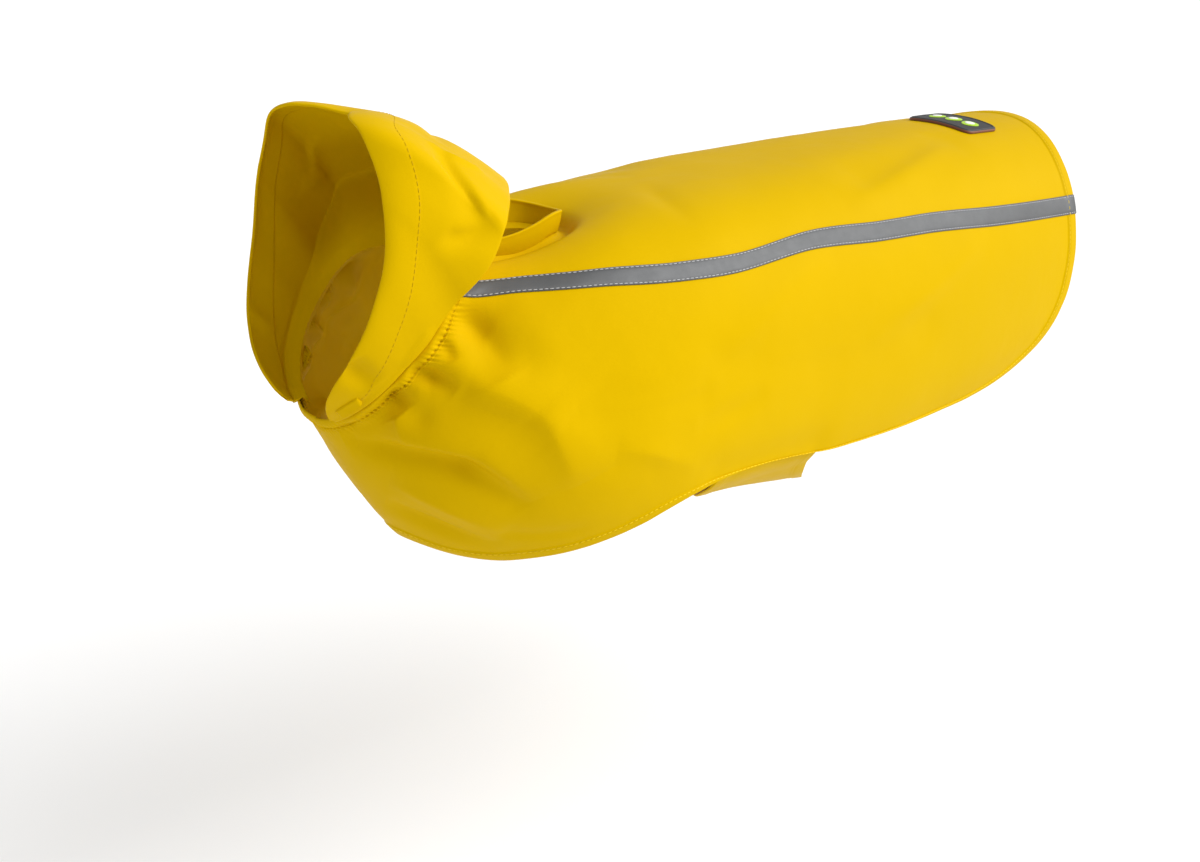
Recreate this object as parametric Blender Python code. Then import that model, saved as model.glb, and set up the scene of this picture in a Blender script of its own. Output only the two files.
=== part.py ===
"""Dog raincoat of coated rain cloth, in its worn shape, with the hood pushed back round the neck.

Frame: metres. +X runs along the back towards the tail, -Y is the wearer's left and +Z is up. The origin
is the inner face of the cloth on the spine, at the seam between the hood and the coat.

The coat is a bent tube. A point of it is named by two values: `along`, the place on the spine where its
section starts, and `around`, the angle in that section, 0 on the spine, 180 degrees under the chest,
positive on the wearer's left. The panels run from the neckline to the hem along ribs in these values.
"""

import math

import bmesh
import bpy
import numpy as np

# ---------------------------------------------------------------------------------------------------
# Driving sizes, in metres
# ---------------------------------------------------------------------------------------------------
CLOTH = 0.0014             # wall of the coat panels
HEM_CLOTH = 0.0022         # wall where the hem is turned up
HEM_DEPTH = 0.0080         # depth of the turned hem
HEM_STEP = 0.0012          # the wall grows to the hem's over this distance
SEAM_GAP = 0.0003          # clearance between two pieces that are sewn together
FACET_CLEARANCE = 0.0006   # clearance of a finer piece that lies on a faceted panel

CASING_CLOTH = 0.0020      # the neck casing is double, with the elastic inside
CASING_DEPTH = 0.0105      # from the hood seam to where the gathers die out
STITCH_DEPTH = 0.0055      # from the hood seam to the gathered stitch line
GATHER_STEP = 0.00135      # half of one gather, measured round the neck
GATHER_HEIGHT = 0.0007

TAPE_WIDTH = 0.010
TAPE_THICKNESS = 0.0006

HOOD_CLOTH = 0.0014
HOOD_CLEARANCE = 0.0005    # clearance of the hood's foot over the casing
HOOD_CASING_CLOTH = 0.0021 # the wide turned casing along the face opening
HOOD_FOLD = 0.30           # share of the hood's profile from the seam to the fold where it turns back
HOOD_CASING_START = 0.70   # share of the hood's profile where that casing begins
HOOD_END = 159.0           # degrees from the spine to the hood's corner at the throat
HOOD_FOOT_RISE = 0.002     # how far the hood stands up off the seam before it turns back
HOOD_FOLD_EASE = 0.40      # shares of its height over which the hood eases into the fold from below,
HOOD_CROWN_EASE = 0.35     # out of it upwards
HOOD_RIM_EASE = 0.30       # and into the rim

TAB_LENGTH = (141.0, 155.0)  # degrees round the neck covered by a folded casing end
TAB_BAND = (0.36, 0.54)      # share of the hood's profile covered by it
TAB_THICKNESS = 0.0010

SLOT_FRONT = 0.0180        # `along` of the front edge of the leash slot
SLOT_INSET = 0.0022        # distance from the middle of the collar's wall to the edge of the slot
SLOT_CUT_REACH = 0.012     # how far the cut goes to each side of the cloth
COLLAR_WALL = 0.0018
COLLAR_CLEARANCE = 0.0013  # clearance of the collar over the facets of the hollow round it
COLLAR_FLARE = 0.0025      # how far its rim stands out beyond its foot

PATCH_LENGTH = 0.044       # across the back
PATCH_WIDTH = 0.033        # along the back
PATCH_ALONG = 0.370
PATCH_TO_LEFT = 0.008      # from the spine to the middle of the patch
PATCH_CORNER = 0.006
PATCH_THICKNESS = 0.0015

FLAP_ALONG = (0.184, 0.240)  # front and rear edge of the belly flap where it is sewn
FLAP_UNDER = (0.250, 0.302)  # and in the middle of the belly, so that it runs straight across
FLAP_END = 104.0             # degrees from the spine to where each end is sewn inside the side panel
FLAP_SEWN = 5.0              # degrees over which each end lies against the side panel
FLAP_LEAVING = 16.0          # degrees over which it then leaves the panel
FLAP_CLEARANCE = 0.0006
FLAP_LIFT = (0.019, 0.003)     # the flap crosses above the form's line: front and rear edge, at the middle
FLAP_LIFTED = (20.0, 72.0)    # degrees from the middle where that lift is still full, and where it ends
FLAP_SQUARE = 1.8            # its section is rounder than the coat's
FLAP_CLOTH = 0.0014

# Sections of the worn coat. Each leans: its top is on the spine, its bottom under chest or belly.
# `bulge` pushes the sides of a section towards the head. A squareness of 2 is a plain ellipse.
SECTIONS = (
    # along, top_z, bottom_x, bottom_z, half_width, back_square, belly_square, bulge
    (-0.004, -0.0005, -0.092, -0.0405, 0.034, 2.0, 2.0, 0.013),
    (0.024, 0.0035, -0.079, -0.0655, 0.046, 2.0, 2.0, 0.013),
    (0.063, 0.0085, -0.061, -0.1025, 0.067, 2.8, 1.8, 0.012),
    (0.108, 0.0115, -0.030, -0.1415, 0.083, 3.0, 1.8, 0.008),
    (0.158, 0.0125, 0.018, -0.1665, 0.088, 2.9, 2.1, 0.004),
    (0.228, 0.0125, 0.118, -0.1745, 0.087, 2.7, 2.5, 0.000),
    (0.328, 0.0115, 0.268, -0.1705, 0.084, 2.5, 2.6, 0.000),
    (0.458, 0.0075, 0.443, -0.1585, 0.074, 2.2, 2.5, 0.000),
)

NECK_PLANE = 0.024         # `along` of the section whose plane the hood is measured in

# The seam between the hood and the coat, from the spine to the throat.
NECKLINE = (
    # around, along
    (0, 0.000), (40, 0.000), (66, 0.005), (85, 0.016), (100, 0.023), (115, 0.024), (180, 0.024),
)

# The hem, from the middle of the rear edge round the flank to the middle of the chest. The rib that ends
# at a point of the hem starts at `start_around` on the neckline. The first and last rows lie past the middle.
HEM = (
    # along, around, start_around
    (0.4365, -12, -14), (0.439, 0, 0), (0.4365, 12, 14), (0.428, 28, 33), (0.419, 46, 56),
    (0.416, 64, 79), (0.417, 82, 86), (0.414, 98, 90.5), (0.400, 112, 94.5), (0.368, 120, 98),
    (0.318, 120, 101), (0.258, 116, 104), (0.203, 113, 108), (0.173, 117, 114), (0.152, 130, 130),
    (0.135, 143, 145), (0.125, 154, 156), (0.1135, 164, 165), (0.1035, 172, 172.5),
    (0.099, 180, 180), (0.1035, 188, 187.5),
)

# The side seam under the reflective tape.
SIDE_SEAM = (
    # along, around
    (0.005, 74), (0.019, 70), (0.038, 62.5), (0.058, 58), (0.098, 53.5), (0.133, 52),
    (0.178, 49.5), (0.233, 51.5), (0.274, 53), (0.328, 56.5), (0.418, 61),
)

# The largest folds of the panels. A negative height is a valley.
FOLDS = (
    # start_along, start_around, end_along, end_around, half_width, height
    (0.026, 0, 0.042, 0, 0.027, -0.0110),         # the hollow round the leash slot
    (0.038, 83, 0.060, 92, 0.009, -0.0028),       # left shoulder, under the hood
    (0.038, 111, 0.048, 108, 0.006, -0.0026),
    (0.036, 124, 0.046, 122, 0.006, -0.0024),
    (0.042, 143, 0.074, 121, 0.007, -0.0030),     # long valley over the left chest
    (0.074, 121, 0.094, 123, 0.008, -0.0024),
    (0.044, 108, 0.081, 102, 0.010, 0.0026),      # ridge above it
    (0.081, 102, 0.103, 111, 0.009, 0.0018),
    (0.086, 101, 0.141, 86, 0.009, -0.0012),
    (0.151, 80, 0.282, 84, 0.012, -0.0012),       # drag line along the left flank
    (0.178, 109, 0.233, 110, 0.009, -0.0010),
    (0.238, 32, 0.328, 22, 0.014, -0.0012),       # drag line to the patch
    (0.040, -86, 0.068, -94, 0.010, -0.0028),     # right shoulder and chest
    (0.038, -114, 0.052, -110, 0.007, -0.0026),
    (0.044, -146, 0.080, -124, 0.008, -0.0030),
    (0.048, -112, 0.088, -103, 0.010, 0.0024),
    (0.090, -99, 0.148, -88, 0.010, -0.0012),
    (0.168, -84, 0.266, -80, 0.012, -0.0012),     # drag lines on the right flank and back
    (0.198, -108, 0.253, -111, 0.010, -0.0010),
    (0.248, -34, 0.328, -24, 0.014, -0.0012),
)
FOLD_START = 0.012         # the folds grow over this distance behind the hood seam

# The welt round the leash slot, from its end under the hood to the middle of its rear.
COLLAR = (
    # step, along, sideways, height, lean_forward
    (0, 0.014, 0.0250, 0.0090, 0.0000),
    (1, 0.030, 0.0245, 0.0125, 0.0000),
    (2, 0.044, 0.0190, 0.0130, 0.0015),
    (3, 0.055, 0.0105, 0.0110, 0.0050),
    (4, 0.059, 0.0000, 0.0080, 0.0070),
    (5, 0.055, -0.0105, 0.0110, 0.0050),
)

# The hood round the neck: the fold where it turns back, and the rim of the face opening, both
# measured from the seam, outwards in the plane of the neckline and up the neck. The first row lies past
# the spine.
HOOD = (
    # around, fold_out, fold_up, rim_out, rim_up, crown_out
    (-30, 0.030, 0.015, -0.006, 0.084, 0.020),
    (0, 0.033, 0.011, -0.006, 0.081, 0.021),
    (30, 0.032, 0.016, -0.006, 0.084, 0.020),
    (48, 0.036, 0.018, -0.004, 0.082, 0.025),
    (62, 0.038, 0.017, 0.000, 0.077, 0.026),
    (76, 0.030, 0.010, 0.002, 0.067, 0.021),
    (90, 0.014, 0.007, 0.004, 0.056, 0.013),
    (105, 0.009, 0.008, 0.005, 0.043, 0.007),
    (120, 0.008, 0.008, 0.008, 0.034, 0.004),
    (135, 0.008, 0.007, 0.009, 0.027, 0.002),
    (148, 0.007, 0.006, 0.009, 0.020, 0.001),
    (163, 0.007, 0.006, 0.008, 0.011, 0.000),
)

# ---------------------------------------------------------------------------------------------------
# Numbers of the mesh
# ---------------------------------------------------------------------------------------------------
BACK_RIBS = 7              # from the spine to the tape
SIDE_RIBS = 26             # from the tape to the middle of the chest
SEAM_FADE = 4              # power by which the ribs beside the tape lose its bow
PANEL_ROWS = 18
ROW_GRADING = 1.5          # rows are closer together towards the neck
HOOD_RIBS = 26             # from the spine to the hood's corner
HOOD_FOLD_ROWS = 4         # from the seam to the fold
HOOD_CROWN_ROWS = 7        # from the fold to the rim
TAB_GRID = (4, 6)
COLLAR_STEPS = 33
PATCH_RIBS = 15
PATCH_ROWS = 5
FLAP_GRID = (7, 33)
PATH_STEPS = 80            # steps of the fine path that a rib is measured on
HEM_STEPS = 600            # steps of the fine path of the hem
REAR_HEM_ROWS = 6          # rows of the hem table before it turns forward
SLOPE_STEP = 1e-4          # distance and angle in degrees that directions are measured over
SLOPE_TURN = 0.2
SHARP_ANGLE = 50.0         # degrees between faces that meet in a sharp edge


# ---------------------------------------------------------------------------------------------------
# The form
# ---------------------------------------------------------------------------------------------------
def smooth_table(rows, at):
    """Columns of a table, read along smooth curves at the values `at` of its first column."""
    knots = np.array([row[0] for row in rows], dtype=float)
    values = np.array([row[1:] for row in rows], dtype=float)
    slopes = np.gradient(values, knots, axis=0)
    at = np.clip(np.asarray(at, dtype=float), knots[0], knots[-1])
    left = np.clip(np.searchsorted(knots, at, side="right") - 1, 0, len(knots) - 2)
    span = (knots[left + 1] - knots[left])[..., None]
    t = (at - knots[left])[..., None] / span
    return ((2 * t**3 - 3 * t**2 + 1) * values[left]
            + (t**3 - 2 * t**2 + t) * span * slopes[left]
            + (3 * t**2 - 2 * t**3) * values[left + 1]
            + (t**3 - t**2) * span * slopes[left + 1])


def unit(vectors):
    return vectors / np.linalg.norm(vectors, axis=-1, keepdims=True)


def form(along, around, belly=None):
    """Inner face of the smooth coat, without its folds. `around` is in degrees."""
    along, around = np.broadcast_arrays(np.asarray(along, float), np.asarray(around, float))
    columns = smooth_table(SECTIONS, along)
    top_z, bottom_x, bottom_z, half_width, back_square, belly_square, bulge = np.moveaxis(columns, -1, 0)
    cosine = np.cos(np.radians(around))
    sine = np.sin(np.radians(around))
    belly_square = belly_square if belly is None else belly
    square = back_square + (belly_square - back_square) * (1 - cosine) / 2
    reach = (np.abs(cosine)**square + np.abs(sine)**square)**(-1 / square)
    half_x = (along - bottom_x) / 2
    half_z = (top_z - bottom_z) / 2
    half_height = np.hypot(half_x, half_z)
    forward = bulge * sine**2
    x = bottom_x + half_x * (1 + reach * cosine) - forward * half_z / half_height
    z = bottom_z + half_z * (1 + reach * cosine) + forward * half_x / half_height
    y = -half_width * reach * sine
    return np.stack([x, y, z], axis=-1)


def slopes_of(surface, first, second, first_range):
    """Directions of a surface along its first and its second value."""
    ahead = np.clip(first + SLOPE_STEP, *first_range)
    behind = np.clip(first - SLOPE_STEP, *first_range)
    run = (ahead - behind)[..., None]
    along_first = (surface(ahead, second) - surface(behind, second)) / run
    along_second = surface(first, second + SLOPE_TURN) - surface(first, second - SLOPE_TURN)
    return along_first, along_second / (2 * SLOPE_TURN)


def form_normal(along, around):
    """Direction out of the coat."""
    along, around = np.broadcast_arrays(np.asarray(along, float), np.asarray(around, float))
    first, second = slopes_of(form, along, around, (SECTIONS[0][0], SECTIONS[-1][0]))
    return unit(np.cross(second, first))


def neckline(around):
    """`along` of the hood seam."""
    return smooth_table(NECKLINE, np.abs(around))[..., 0]


def fold_height(points):
    """How far the folds push the cloth out at these points of the smooth form."""
    height = np.zeros(points.shape[:-1])
    for start_along, start_around, end_along, end_around, half_width, depth in FOLDS:
        start = form(start_along, start_around)
        axis = form(end_along, end_around) - start
        share = np.clip((points - start) @ axis / (axis @ axis), 0, 1)
        distance = np.linalg.norm(points - start - share[..., None] * axis, axis=-1)
        height += depth * np.exp(-(distance / half_width)**2)
    return height


def cloth(along, around, lift=0.0):
    """Points of the folded coat, `lift` outside its inner face."""
    along, around = np.broadcast_arrays(np.asarray(along, float), np.asarray(around, float))
    smooth = form(along, around)
    grown = np.clip((along - neckline(around)) / FOLD_START, 0, 1)
    rise = fold_height(smooth) * grown * grown * (3 - 2 * grown) + lift
    return smooth + form_normal(along, around) * rise[..., None]


# ---------------------------------------------------------------------------------------------------
# Ribs from the neckline to the hem
# ---------------------------------------------------------------------------------------------------
def side_seam_around(along):
    return smooth_table(SIDE_SEAM, along)[..., 0]


def sideways(along, around, distance):
    """`around` of the points that lie `distance` further down the side."""
    step = form(along, around + SLOPE_TURN) - form(along, around - SLOPE_TURN)
    per_degree = np.linalg.norm(step, axis=-1) / (2 * SLOPE_TURN)
    return around + distance / per_degree


def hem_point(number):
    """Values of the left hem at a place counted in rows of its table."""
    numbered = [(row, *values) for row, values in enumerate(HEM)]
    return np.moveaxis(smooth_table(numbered, number), -1, 0)


LAST_HEM_ROW = len(HEM) - 2
HEM_NUMBERS = np.linspace(0, LAST_HEM_ROW, HEM_STEPS)
HEM_ALONG, HEM_AROUND, _ = hem_point(HEM_NUMBERS)
SEAM_AT_NECK = SIDE_SEAM[0][1]


def back_rib(share):
    """Rib of the back panel, from share 0 on the spine to share 1 on the side seam."""
    steps = np.linspace(0, 1, PATH_STEPS)
    hem_around = share * SIDE_SEAM[-1][1]
    rear = HEM_NUMBERS < REAR_HEM_ROWS
    hem_along = np.interp(hem_around, HEM_AROUND[rear], HEM_ALONG[rear])
    neck_along = float(neckline(share * SEAM_AT_NECK))
    along = neck_along + (hem_along - neck_along) * steps
    return along, share * side_seam_around(along)


def side_rib(share):
    """Rib of the side panel, from share 0 beside the tape to share 1 at the middle of the chest."""
    steps = np.linspace(0, 1, PATH_STEPS)
    seam_along, seam_around = shifted_seam(TAPE_WIDTH / 2)
    to_seam = form(HEM_ALONG, HEM_AROUND) - form(seam_along[-1], seam_around[-1])
    first = HEM_NUMBERS[np.argmin(np.linalg.norm(to_seam, axis=-1))]
    hem_along, hem_around, neck_around = hem_point(first + share * (LAST_HEM_ROW - first))
    near_seam = (1 - share)**SEAM_FADE
    neck_around = neck_around + (seam_around[0] - hem_point(first)[2]) * near_seam
    straight_seam = seam_around[0] + (seam_around[-1] - seam_around[0]) * steps**2
    seam_bow = (seam_around - straight_seam) * near_seam
    neck_along = float(neckline(neck_around))
    along = neck_along + (hem_along - neck_along) * steps
    return along, neck_around + (hem_around - neck_around) * steps**2 + seam_bow


def shifted_seam(distance):
    """The side seam, moved down the side by `distance`."""
    along, around = back_rib(1.0)
    return along, sideways(along, around, distance)


def walk(path, distances):
    """Values `along` and `around` of a rib at these distances from the hood seam."""
    along, around = path
    points = form(along, around)
    length = np.concatenate([[0], np.cumsum(np.linalg.norm(np.diff(points, axis=0), axis=1))])
    distances = np.asarray([d if d >= 0 else length[-1] + d for d in distances])
    return np.interp(distances, length, along), np.interp(distances, length, around)


def panel_rows(path):
    """Distances of a panel's rows down one rib, and the wall at each row."""
    points = form(*path)
    length = float(np.linalg.norm(np.diff(points, axis=0), axis=1).sum())
    top = CASING_DEPTH + SEAM_GAP
    turned = length - HEM_DEPTH
    graded = top + (turned - HEM_STEP - top) * np.linspace(0, 1, PANEL_ROWS)**ROW_GRADING
    distances = np.concatenate([graded, [turned, length]])
    walls = np.concatenate([np.full(PANEL_ROWS, CLOTH), [HEM_CLOTH, HEM_CLOTH]])
    return distances, walls


def panel_sheets(paths):
    """Outer and inner points of a panel, rows by ribs, from the ribs' paths and the side of each."""
    outer = []
    inner = []
    for path, side in paths:
        distances, walls = panel_rows(path)
        along, around = walk(path, distances)
        inner.append(cloth(along, side * around))
        outer.append(cloth(along, side * around, walls))
    return np.array(outer).transpose(1, 0, 2), np.array(inner).transpose(1, 0, 2)


def back_paths(side, from_spine):
    """Ribs of one half of the back panel, from the spine outwards."""
    shares = [number / (BACK_RIBS + 1) for number in range(0 if from_spine else 1, BACK_RIBS + 1)]
    paths = [(back_rib(share), side) for share in shares]
    paths.append((shifted_seam(-TAPE_WIDTH / 2), side))
    paths.append((shifted_seam(-SEAM_GAP / 2), side))
    return paths


def side_paths(side):
    """Ribs of one side panel, from the side seam to the middle of the chest."""
    paths = [(shifted_seam(SEAM_GAP / 2), side)]
    for number in range(SIDE_RIBS):
        paths.append((side_rib(number / SIDE_RIBS), side))
    along, around = side_rib(1.0)
    paths.append(((along, sideways(along, around, -SEAM_GAP / 2)), side))
    return paths


# ---------------------------------------------------------------------------------------------------
# Solids and materials
# ---------------------------------------------------------------------------------------------------
def material(name, colour, roughness):
    paint = bpy.data.materials.new(name)
    paint.use_nodes = True
    shader = paint.node_tree.nodes["Principled BSDF"]
    shader.inputs["Base Color"].default_value = (*colour, 1)
    shader.inputs["Roughness"].default_value = roughness
    shader.inputs["Metallic"].default_value = 0.0
    return paint


def shell(name, outer, inner, paint, closed=False):
    """A closed wall between two sheets of points. Both are triangulated along the same diagonals."""
    work = bmesh.new()
    sheets = [[[work.verts.new(point) for point in row] for row in sheet] for sheet in (outer, inner)]
    columns = len(outer[0])
    pairs = [(c, (c + 1) % columns) for c in range(columns if closed else columns - 1)]
    for sheet in sheets:
        for upper, lower in zip(sheet, sheet[1:]):
            for c, d in pairs:
                work.faces.new((upper[c], lower[c], lower[d]))
                work.faces.new((upper[c], lower[d], upper[d]))
    front, back = sheets
    for edge in (0, -1):
        for c, d in pairs:
            work.faces.new((front[edge][c], front[edge][d], back[edge][d], back[edge][c]))
    if not closed:
        for edge in (0, -1):
            for row in range(len(front) - 1):
                work.faces.new((front[row][edge], front[row + 1][edge],
                                back[row + 1][edge], back[row][edge]))
    bmesh.ops.recalc_face_normals(work, faces=work.faces)
    mesh = bpy.data.meshes.new(name)
    work.to_mesh(mesh)
    work.free()
    mesh.shade_smooth()
    mesh.set_sharp_from_angle(angle=math.radians(SHARP_ANGLE))
    mesh.materials.append(paint)
    piece = bpy.data.objects.new(name, mesh)
    bpy.context.collection.objects.link(piece)
    return piece


def prism(name, bottom, top, paint):
    """A closed prism between two outlines of the same number of points."""
    work = bmesh.new()
    lower = [work.verts.new(point) for point in bottom]
    upper = [work.verts.new(point) for point in top]
    count = len(lower)
    for c in range(count):
        d = (c + 1) % count
        work.faces.new((lower[c], lower[d], upper[d], upper[c]))
    work.faces.new(lower)
    work.faces.new(upper)
    bmesh.ops.recalc_face_normals(work, faces=work.faces)
    mesh = bpy.data.meshes.new(name)
    work.to_mesh(mesh)
    work.free()
    mesh.materials.append(paint)
    piece = bpy.data.objects.new(name, mesh)
    bpy.context.collection.objects.link(piece)
    return piece


# ---------------------------------------------------------------------------------------------------
# The coat's panels and the neck casing
# ---------------------------------------------------------------------------------------------------
def collar_path(offset):
    """The collar's table read round the slot, moved away from the slot by `offset`."""
    middle = len(COLLAR) - 2
    step = np.linspace(-middle, middle, COLLAR_STEPS)
    along, distance, height, lean = np.moveaxis(smooth_table(COLLAR, middle - np.abs(step)), -1, 0)
    distance = distance * np.sign(step)
    heading = unit(np.stack([np.gradient(along), np.gradient(distance)], axis=-1))
    along = along + heading[:, 1] * offset
    distance = distance - heading[:, 0] * offset
    return along, sideways(along, 0 * along, distance), height, lean


def make_back_panel(paint):
    paths = back_paths(-1, True)[::-1] + back_paths(1, False)
    panel = shell("back_panel", *panel_sheets(paths), paint)
    along, around, _, _ = collar_path(-SLOT_INSET)
    inside = along > SLOT_FRONT
    along = np.concatenate([[SLOT_FRONT], along[inside], [SLOT_FRONT]])
    around = np.concatenate([around[inside][:1], around[inside], around[inside][-1:]])
    middle = cloth(along, around)
    reach = np.array([0, 0, SLOT_CUT_REACH])
    cutter = prism("slot_cutter", middle - reach, middle + reach, paint)
    cutter.hide_render = True
    cutter.display_type = "WIRE"
    cut = panel.modifiers.new("leash_slot", "BOOLEAN")
    cut.operation = "DIFFERENCE"
    cut.solver = "EXACT"
    cut.object = cutter


def make_side_panels(paint):
    for name, side in (("side_panel_left", 1), ("side_panel_right", -1)):
        shell(name, *panel_sheets(side_paths(side)), paint)


def neck_ring_paths():
    """Ribs all the way round the neck, those of the panels, from the spine by the left and back."""
    half = [(back_rib(number / (BACK_RIBS + 1)), 1) for number in range(BACK_RIBS + 1)]
    half += [(shifted_seam(-TAPE_WIDTH / 2), 1), (shifted_seam(0.0), 1)]
    half += [(side_rib(number / SIDE_RIBS), 1) for number in range(SIDE_RIBS + 1)]
    return half + [(path, -1) for path, side in half[-2:0:-1]]


def subdivide_ring(points, counts):
    """Closed ring of points with each stretch cut into its count of straight steps."""
    pieces = []
    for number, count in enumerate(counts):
        start = points[number]
        end = points[(number + 1) % len(points)]
        for step in range(count):
            pieces.append(start + (end - start) * step / count)
    return np.array(pieces)


def make_neck_casing(paint):
    paths = neck_ring_paths()
    gathered = ((0.0, 0.0), (STITCH_DEPTH, 1.0), (CASING_DEPTH, 0.0))
    rings = []
    for distance, _ in gathered:
        ring = [(*walk(path, [distance]), side) for path, side in paths]
        along = np.array([entry[0][0] for entry in ring])
        around = np.array([entry[1][0] * entry[2] for entry in ring])
        rings.append((cloth(along, around), cloth(along, around, CASING_CLOTH), form_normal(along, around)))
    first = rings[0][0]
    lengths = np.linalg.norm(np.roll(first, -1, axis=0) - first, axis=1)
    counts = [max(1, round(length / GATHER_STEP)) for length in lengths]
    zigzag = np.array([1 if number % 2 else -1 for number in range(sum(counts))])[:, None]
    outer = []
    for (distance, share), (inside, outside, normals) in zip(gathered, rings):
        raised = GATHER_HEIGHT * share * zigzag * unit(subdivide_ring(normals, counts))
        outer.append(subdivide_ring(outside, counts) + raised)
    inner = [subdivide_ring(inside, counts) for inside, _, _ in rings]
    shell("neck_casing", outer, inner, paint, closed=True)


def make_tapes(paint):
    for name, side in (("reflective_tape_left", 1), ("reflective_tape_right", -1)):
        paths = [shifted_seam(-TAPE_WIDTH / 2), shifted_seam(-SEAM_GAP / 2)]
        paths += [shifted_seam(SEAM_GAP / 2), side_rib(0.0)]
        outer = []
        inner = []
        for path in paths:
            distances, walls = panel_rows(path)
            along, around = walk(path, distances)
            gap = walls + SEAM_GAP
            inner.append(cloth(along, side * around, gap))
            outer.append(cloth(along, side * around, gap + TAPE_THICKNESS))
        shell(name, np.array(outer).transpose(1, 0, 2), np.array(inner).transpose(1, 0, 2), paint)


# ---------------------------------------------------------------------------------------------------
# The hood
# ---------------------------------------------------------------------------------------------------
def bezier(points, t):
    a, b, c, d = points
    t = t[..., None]
    return a * (1 - t)**3 + 3 * b * t * (1 - t)**2 + 3 * c * t**2 * (1 - t) + d * t**3


def hood_frame(around):
    """Points of the hood seam, with the directions out from the neck and up along it."""
    upright = form(NECK_PLANE, 0) - form(NECK_PLANE, 180)
    up = unit(np.array([-upright[2], 0, upright[0]]))
    ahead = around + SLOPE_TURN
    behind = around - SLOPE_TURN
    tangent = form(neckline(ahead), ahead) - form(neckline(behind), behind)
    return form(neckline(around), around), unit(np.cross(up, tangent)), up


def hood(profile, around):
    """Hollow side of the hood. `profile` runs from 0 at the seam to 1 at the rim."""
    profile, around = np.broadcast_arrays(np.asarray(profile, float), np.asarray(around, float))
    table = smooth_table(HOOD, np.abs(around))
    fold_out, fold_up, rim_out, rim_up, crown_out = np.moveaxis(table, -1, 0)[..., None]
    seam, out, up = hood_frame(around)
    lift = form_normal(neckline(around), around)
    foot = seam + lift * (CASING_CLOTH + HOOD_CLEARANCE)
    fold = seam + out * fold_out + up * fold_up
    rim = seam + out * rim_out + up * rim_up
    eased = fold_up * HOOD_FOLD_EASE
    under = (foot, foot + lift * (HOOD_FOOT_RISE + eased), fold - up * eased, fold)
    rise = up * (rim_up - fold_up)
    over = (fold, fold + rise * HOOD_CROWN_EASE, rim - rise * HOOD_RIM_EASE + out * crown_out, rim)
    lower = bezier(under, np.clip(profile / HOOD_FOLD, 0, 1))
    upper = bezier(over, np.clip((profile - HOOD_FOLD) / (1 - HOOD_FOLD), 0, 1))
    return np.where((profile < HOOD_FOLD)[..., None], lower, upper)


def hood_cloth(profile, around, lift):
    """Points of the hood, `lift` outside its hollow side."""
    profile, around = np.broadcast_arrays(np.asarray(profile, float), np.asarray(around, float))
    first, second = slopes_of(hood, profile, around, (0.0, 1.0))
    outward = unit(np.cross(second, first))
    return hood(profile, around) + outward * np.asarray(lift)[..., None]


def make_hood(paint):
    around = np.linspace(-HOOD_END, HOOD_END, 2 * HOOD_RIBS + 1)
    below_fold = np.linspace(0, HOOD_FOLD, HOOD_FOLD_ROWS)
    profile = np.concatenate([below_fold[:-1], np.linspace(HOOD_FOLD, 1, HOOD_CROWN_ROWS)])
    walls = np.where(profile >= HOOD_CASING_START, HOOD_CASING_CLOTH, HOOD_CLOTH)
    grid_profile, grid_around = np.meshgrid(profile, around, indexing="ij")
    grid_wall = np.repeat(walls[:, None], len(around), axis=1)
    inner = hood_cloth(grid_profile, grid_around, 0 * grid_wall)
    outer = hood_cloth(grid_profile, grid_around, grid_wall)
    shell("hood", outer, inner, paint)


def make_hood_tabs(paint):
    for name, side in (("hood_tab_left", 1), ("hood_tab_right", -1)):
        profile = np.linspace(*TAB_BAND, TAB_GRID[0])
        around = side * np.linspace(*TAB_LENGTH, TAB_GRID[1])
        grid_profile, grid_around = np.meshgrid(profile, around, indexing="ij")
        low = HOOD_CLOTH + FACET_CLEARANCE + 0 * grid_profile
        inner = hood_cloth(grid_profile, grid_around, low)
        outer = hood_cloth(grid_profile, grid_around, low + TAB_THICKNESS)
        shell(name, outer, inner, paint)


# ---------------------------------------------------------------------------------------------------
# What is sewn on
# ---------------------------------------------------------------------------------------------------
def make_leash_collar(paint):
    """The welt stands on the cloth round the rear of the slot, and its ends run under the hood."""
    levels = ((0.0, 0.0), (0.5, 0.25), (1.0, 1.0))
    along, around, height, lean = collar_path(0.0)
    over_casing = np.clip((SLOT_FRONT - along) / (SLOT_FRONT - CASING_DEPTH), 0, 1)
    foot_lift = CLOTH + COLLAR_CLEARANCE + (CASING_CLOTH - CLOTH) * over_casing
    foot_z = cloth(along, around, foot_lift)[:, 2]
    sheets = []
    for side in (1, -1):
        sheet = []
        for rise, flare in levels:
            offset = side * COLLAR_WALL / 2 + COLLAR_FLARE * flare
            points = cloth(*collar_path(offset)[:2], foot_lift)
            if rise > 0:
                points[:, 0] -= lean * rise
                points[:, 2] = foot_z + height * rise
            sheet.append(points)
        sheets.append(sheet)
    shell("leash_collar", *sheets, paint)


def make_patch(paint):
    """The rubber patch lies across the spine and bends with the cloth."""
    half_length = PATCH_LENGTH / 2
    half_width = PATCH_WIDTH / 2
    across = np.linspace(-half_length, half_length, PATCH_RIBS)
    into_corner = np.clip(np.abs(across) - (half_length - PATCH_CORNER), 0, PATCH_CORNER)
    reach = half_width - PATCH_CORNER + np.sqrt(PATCH_CORNER**2 - into_corner**2)
    along = PATCH_ALONG + reach[:, None] * np.linspace(-1, 1, PATCH_ROWS)
    around = sideways(along, 0 * along, across[:, None] + PATCH_TO_LEFT)
    low = CLOTH + FACET_CLEARANCE
    shell("label_patch", cloth(along, around, low + PATCH_THICKNESS), cloth(along, around, low), paint)


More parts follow.
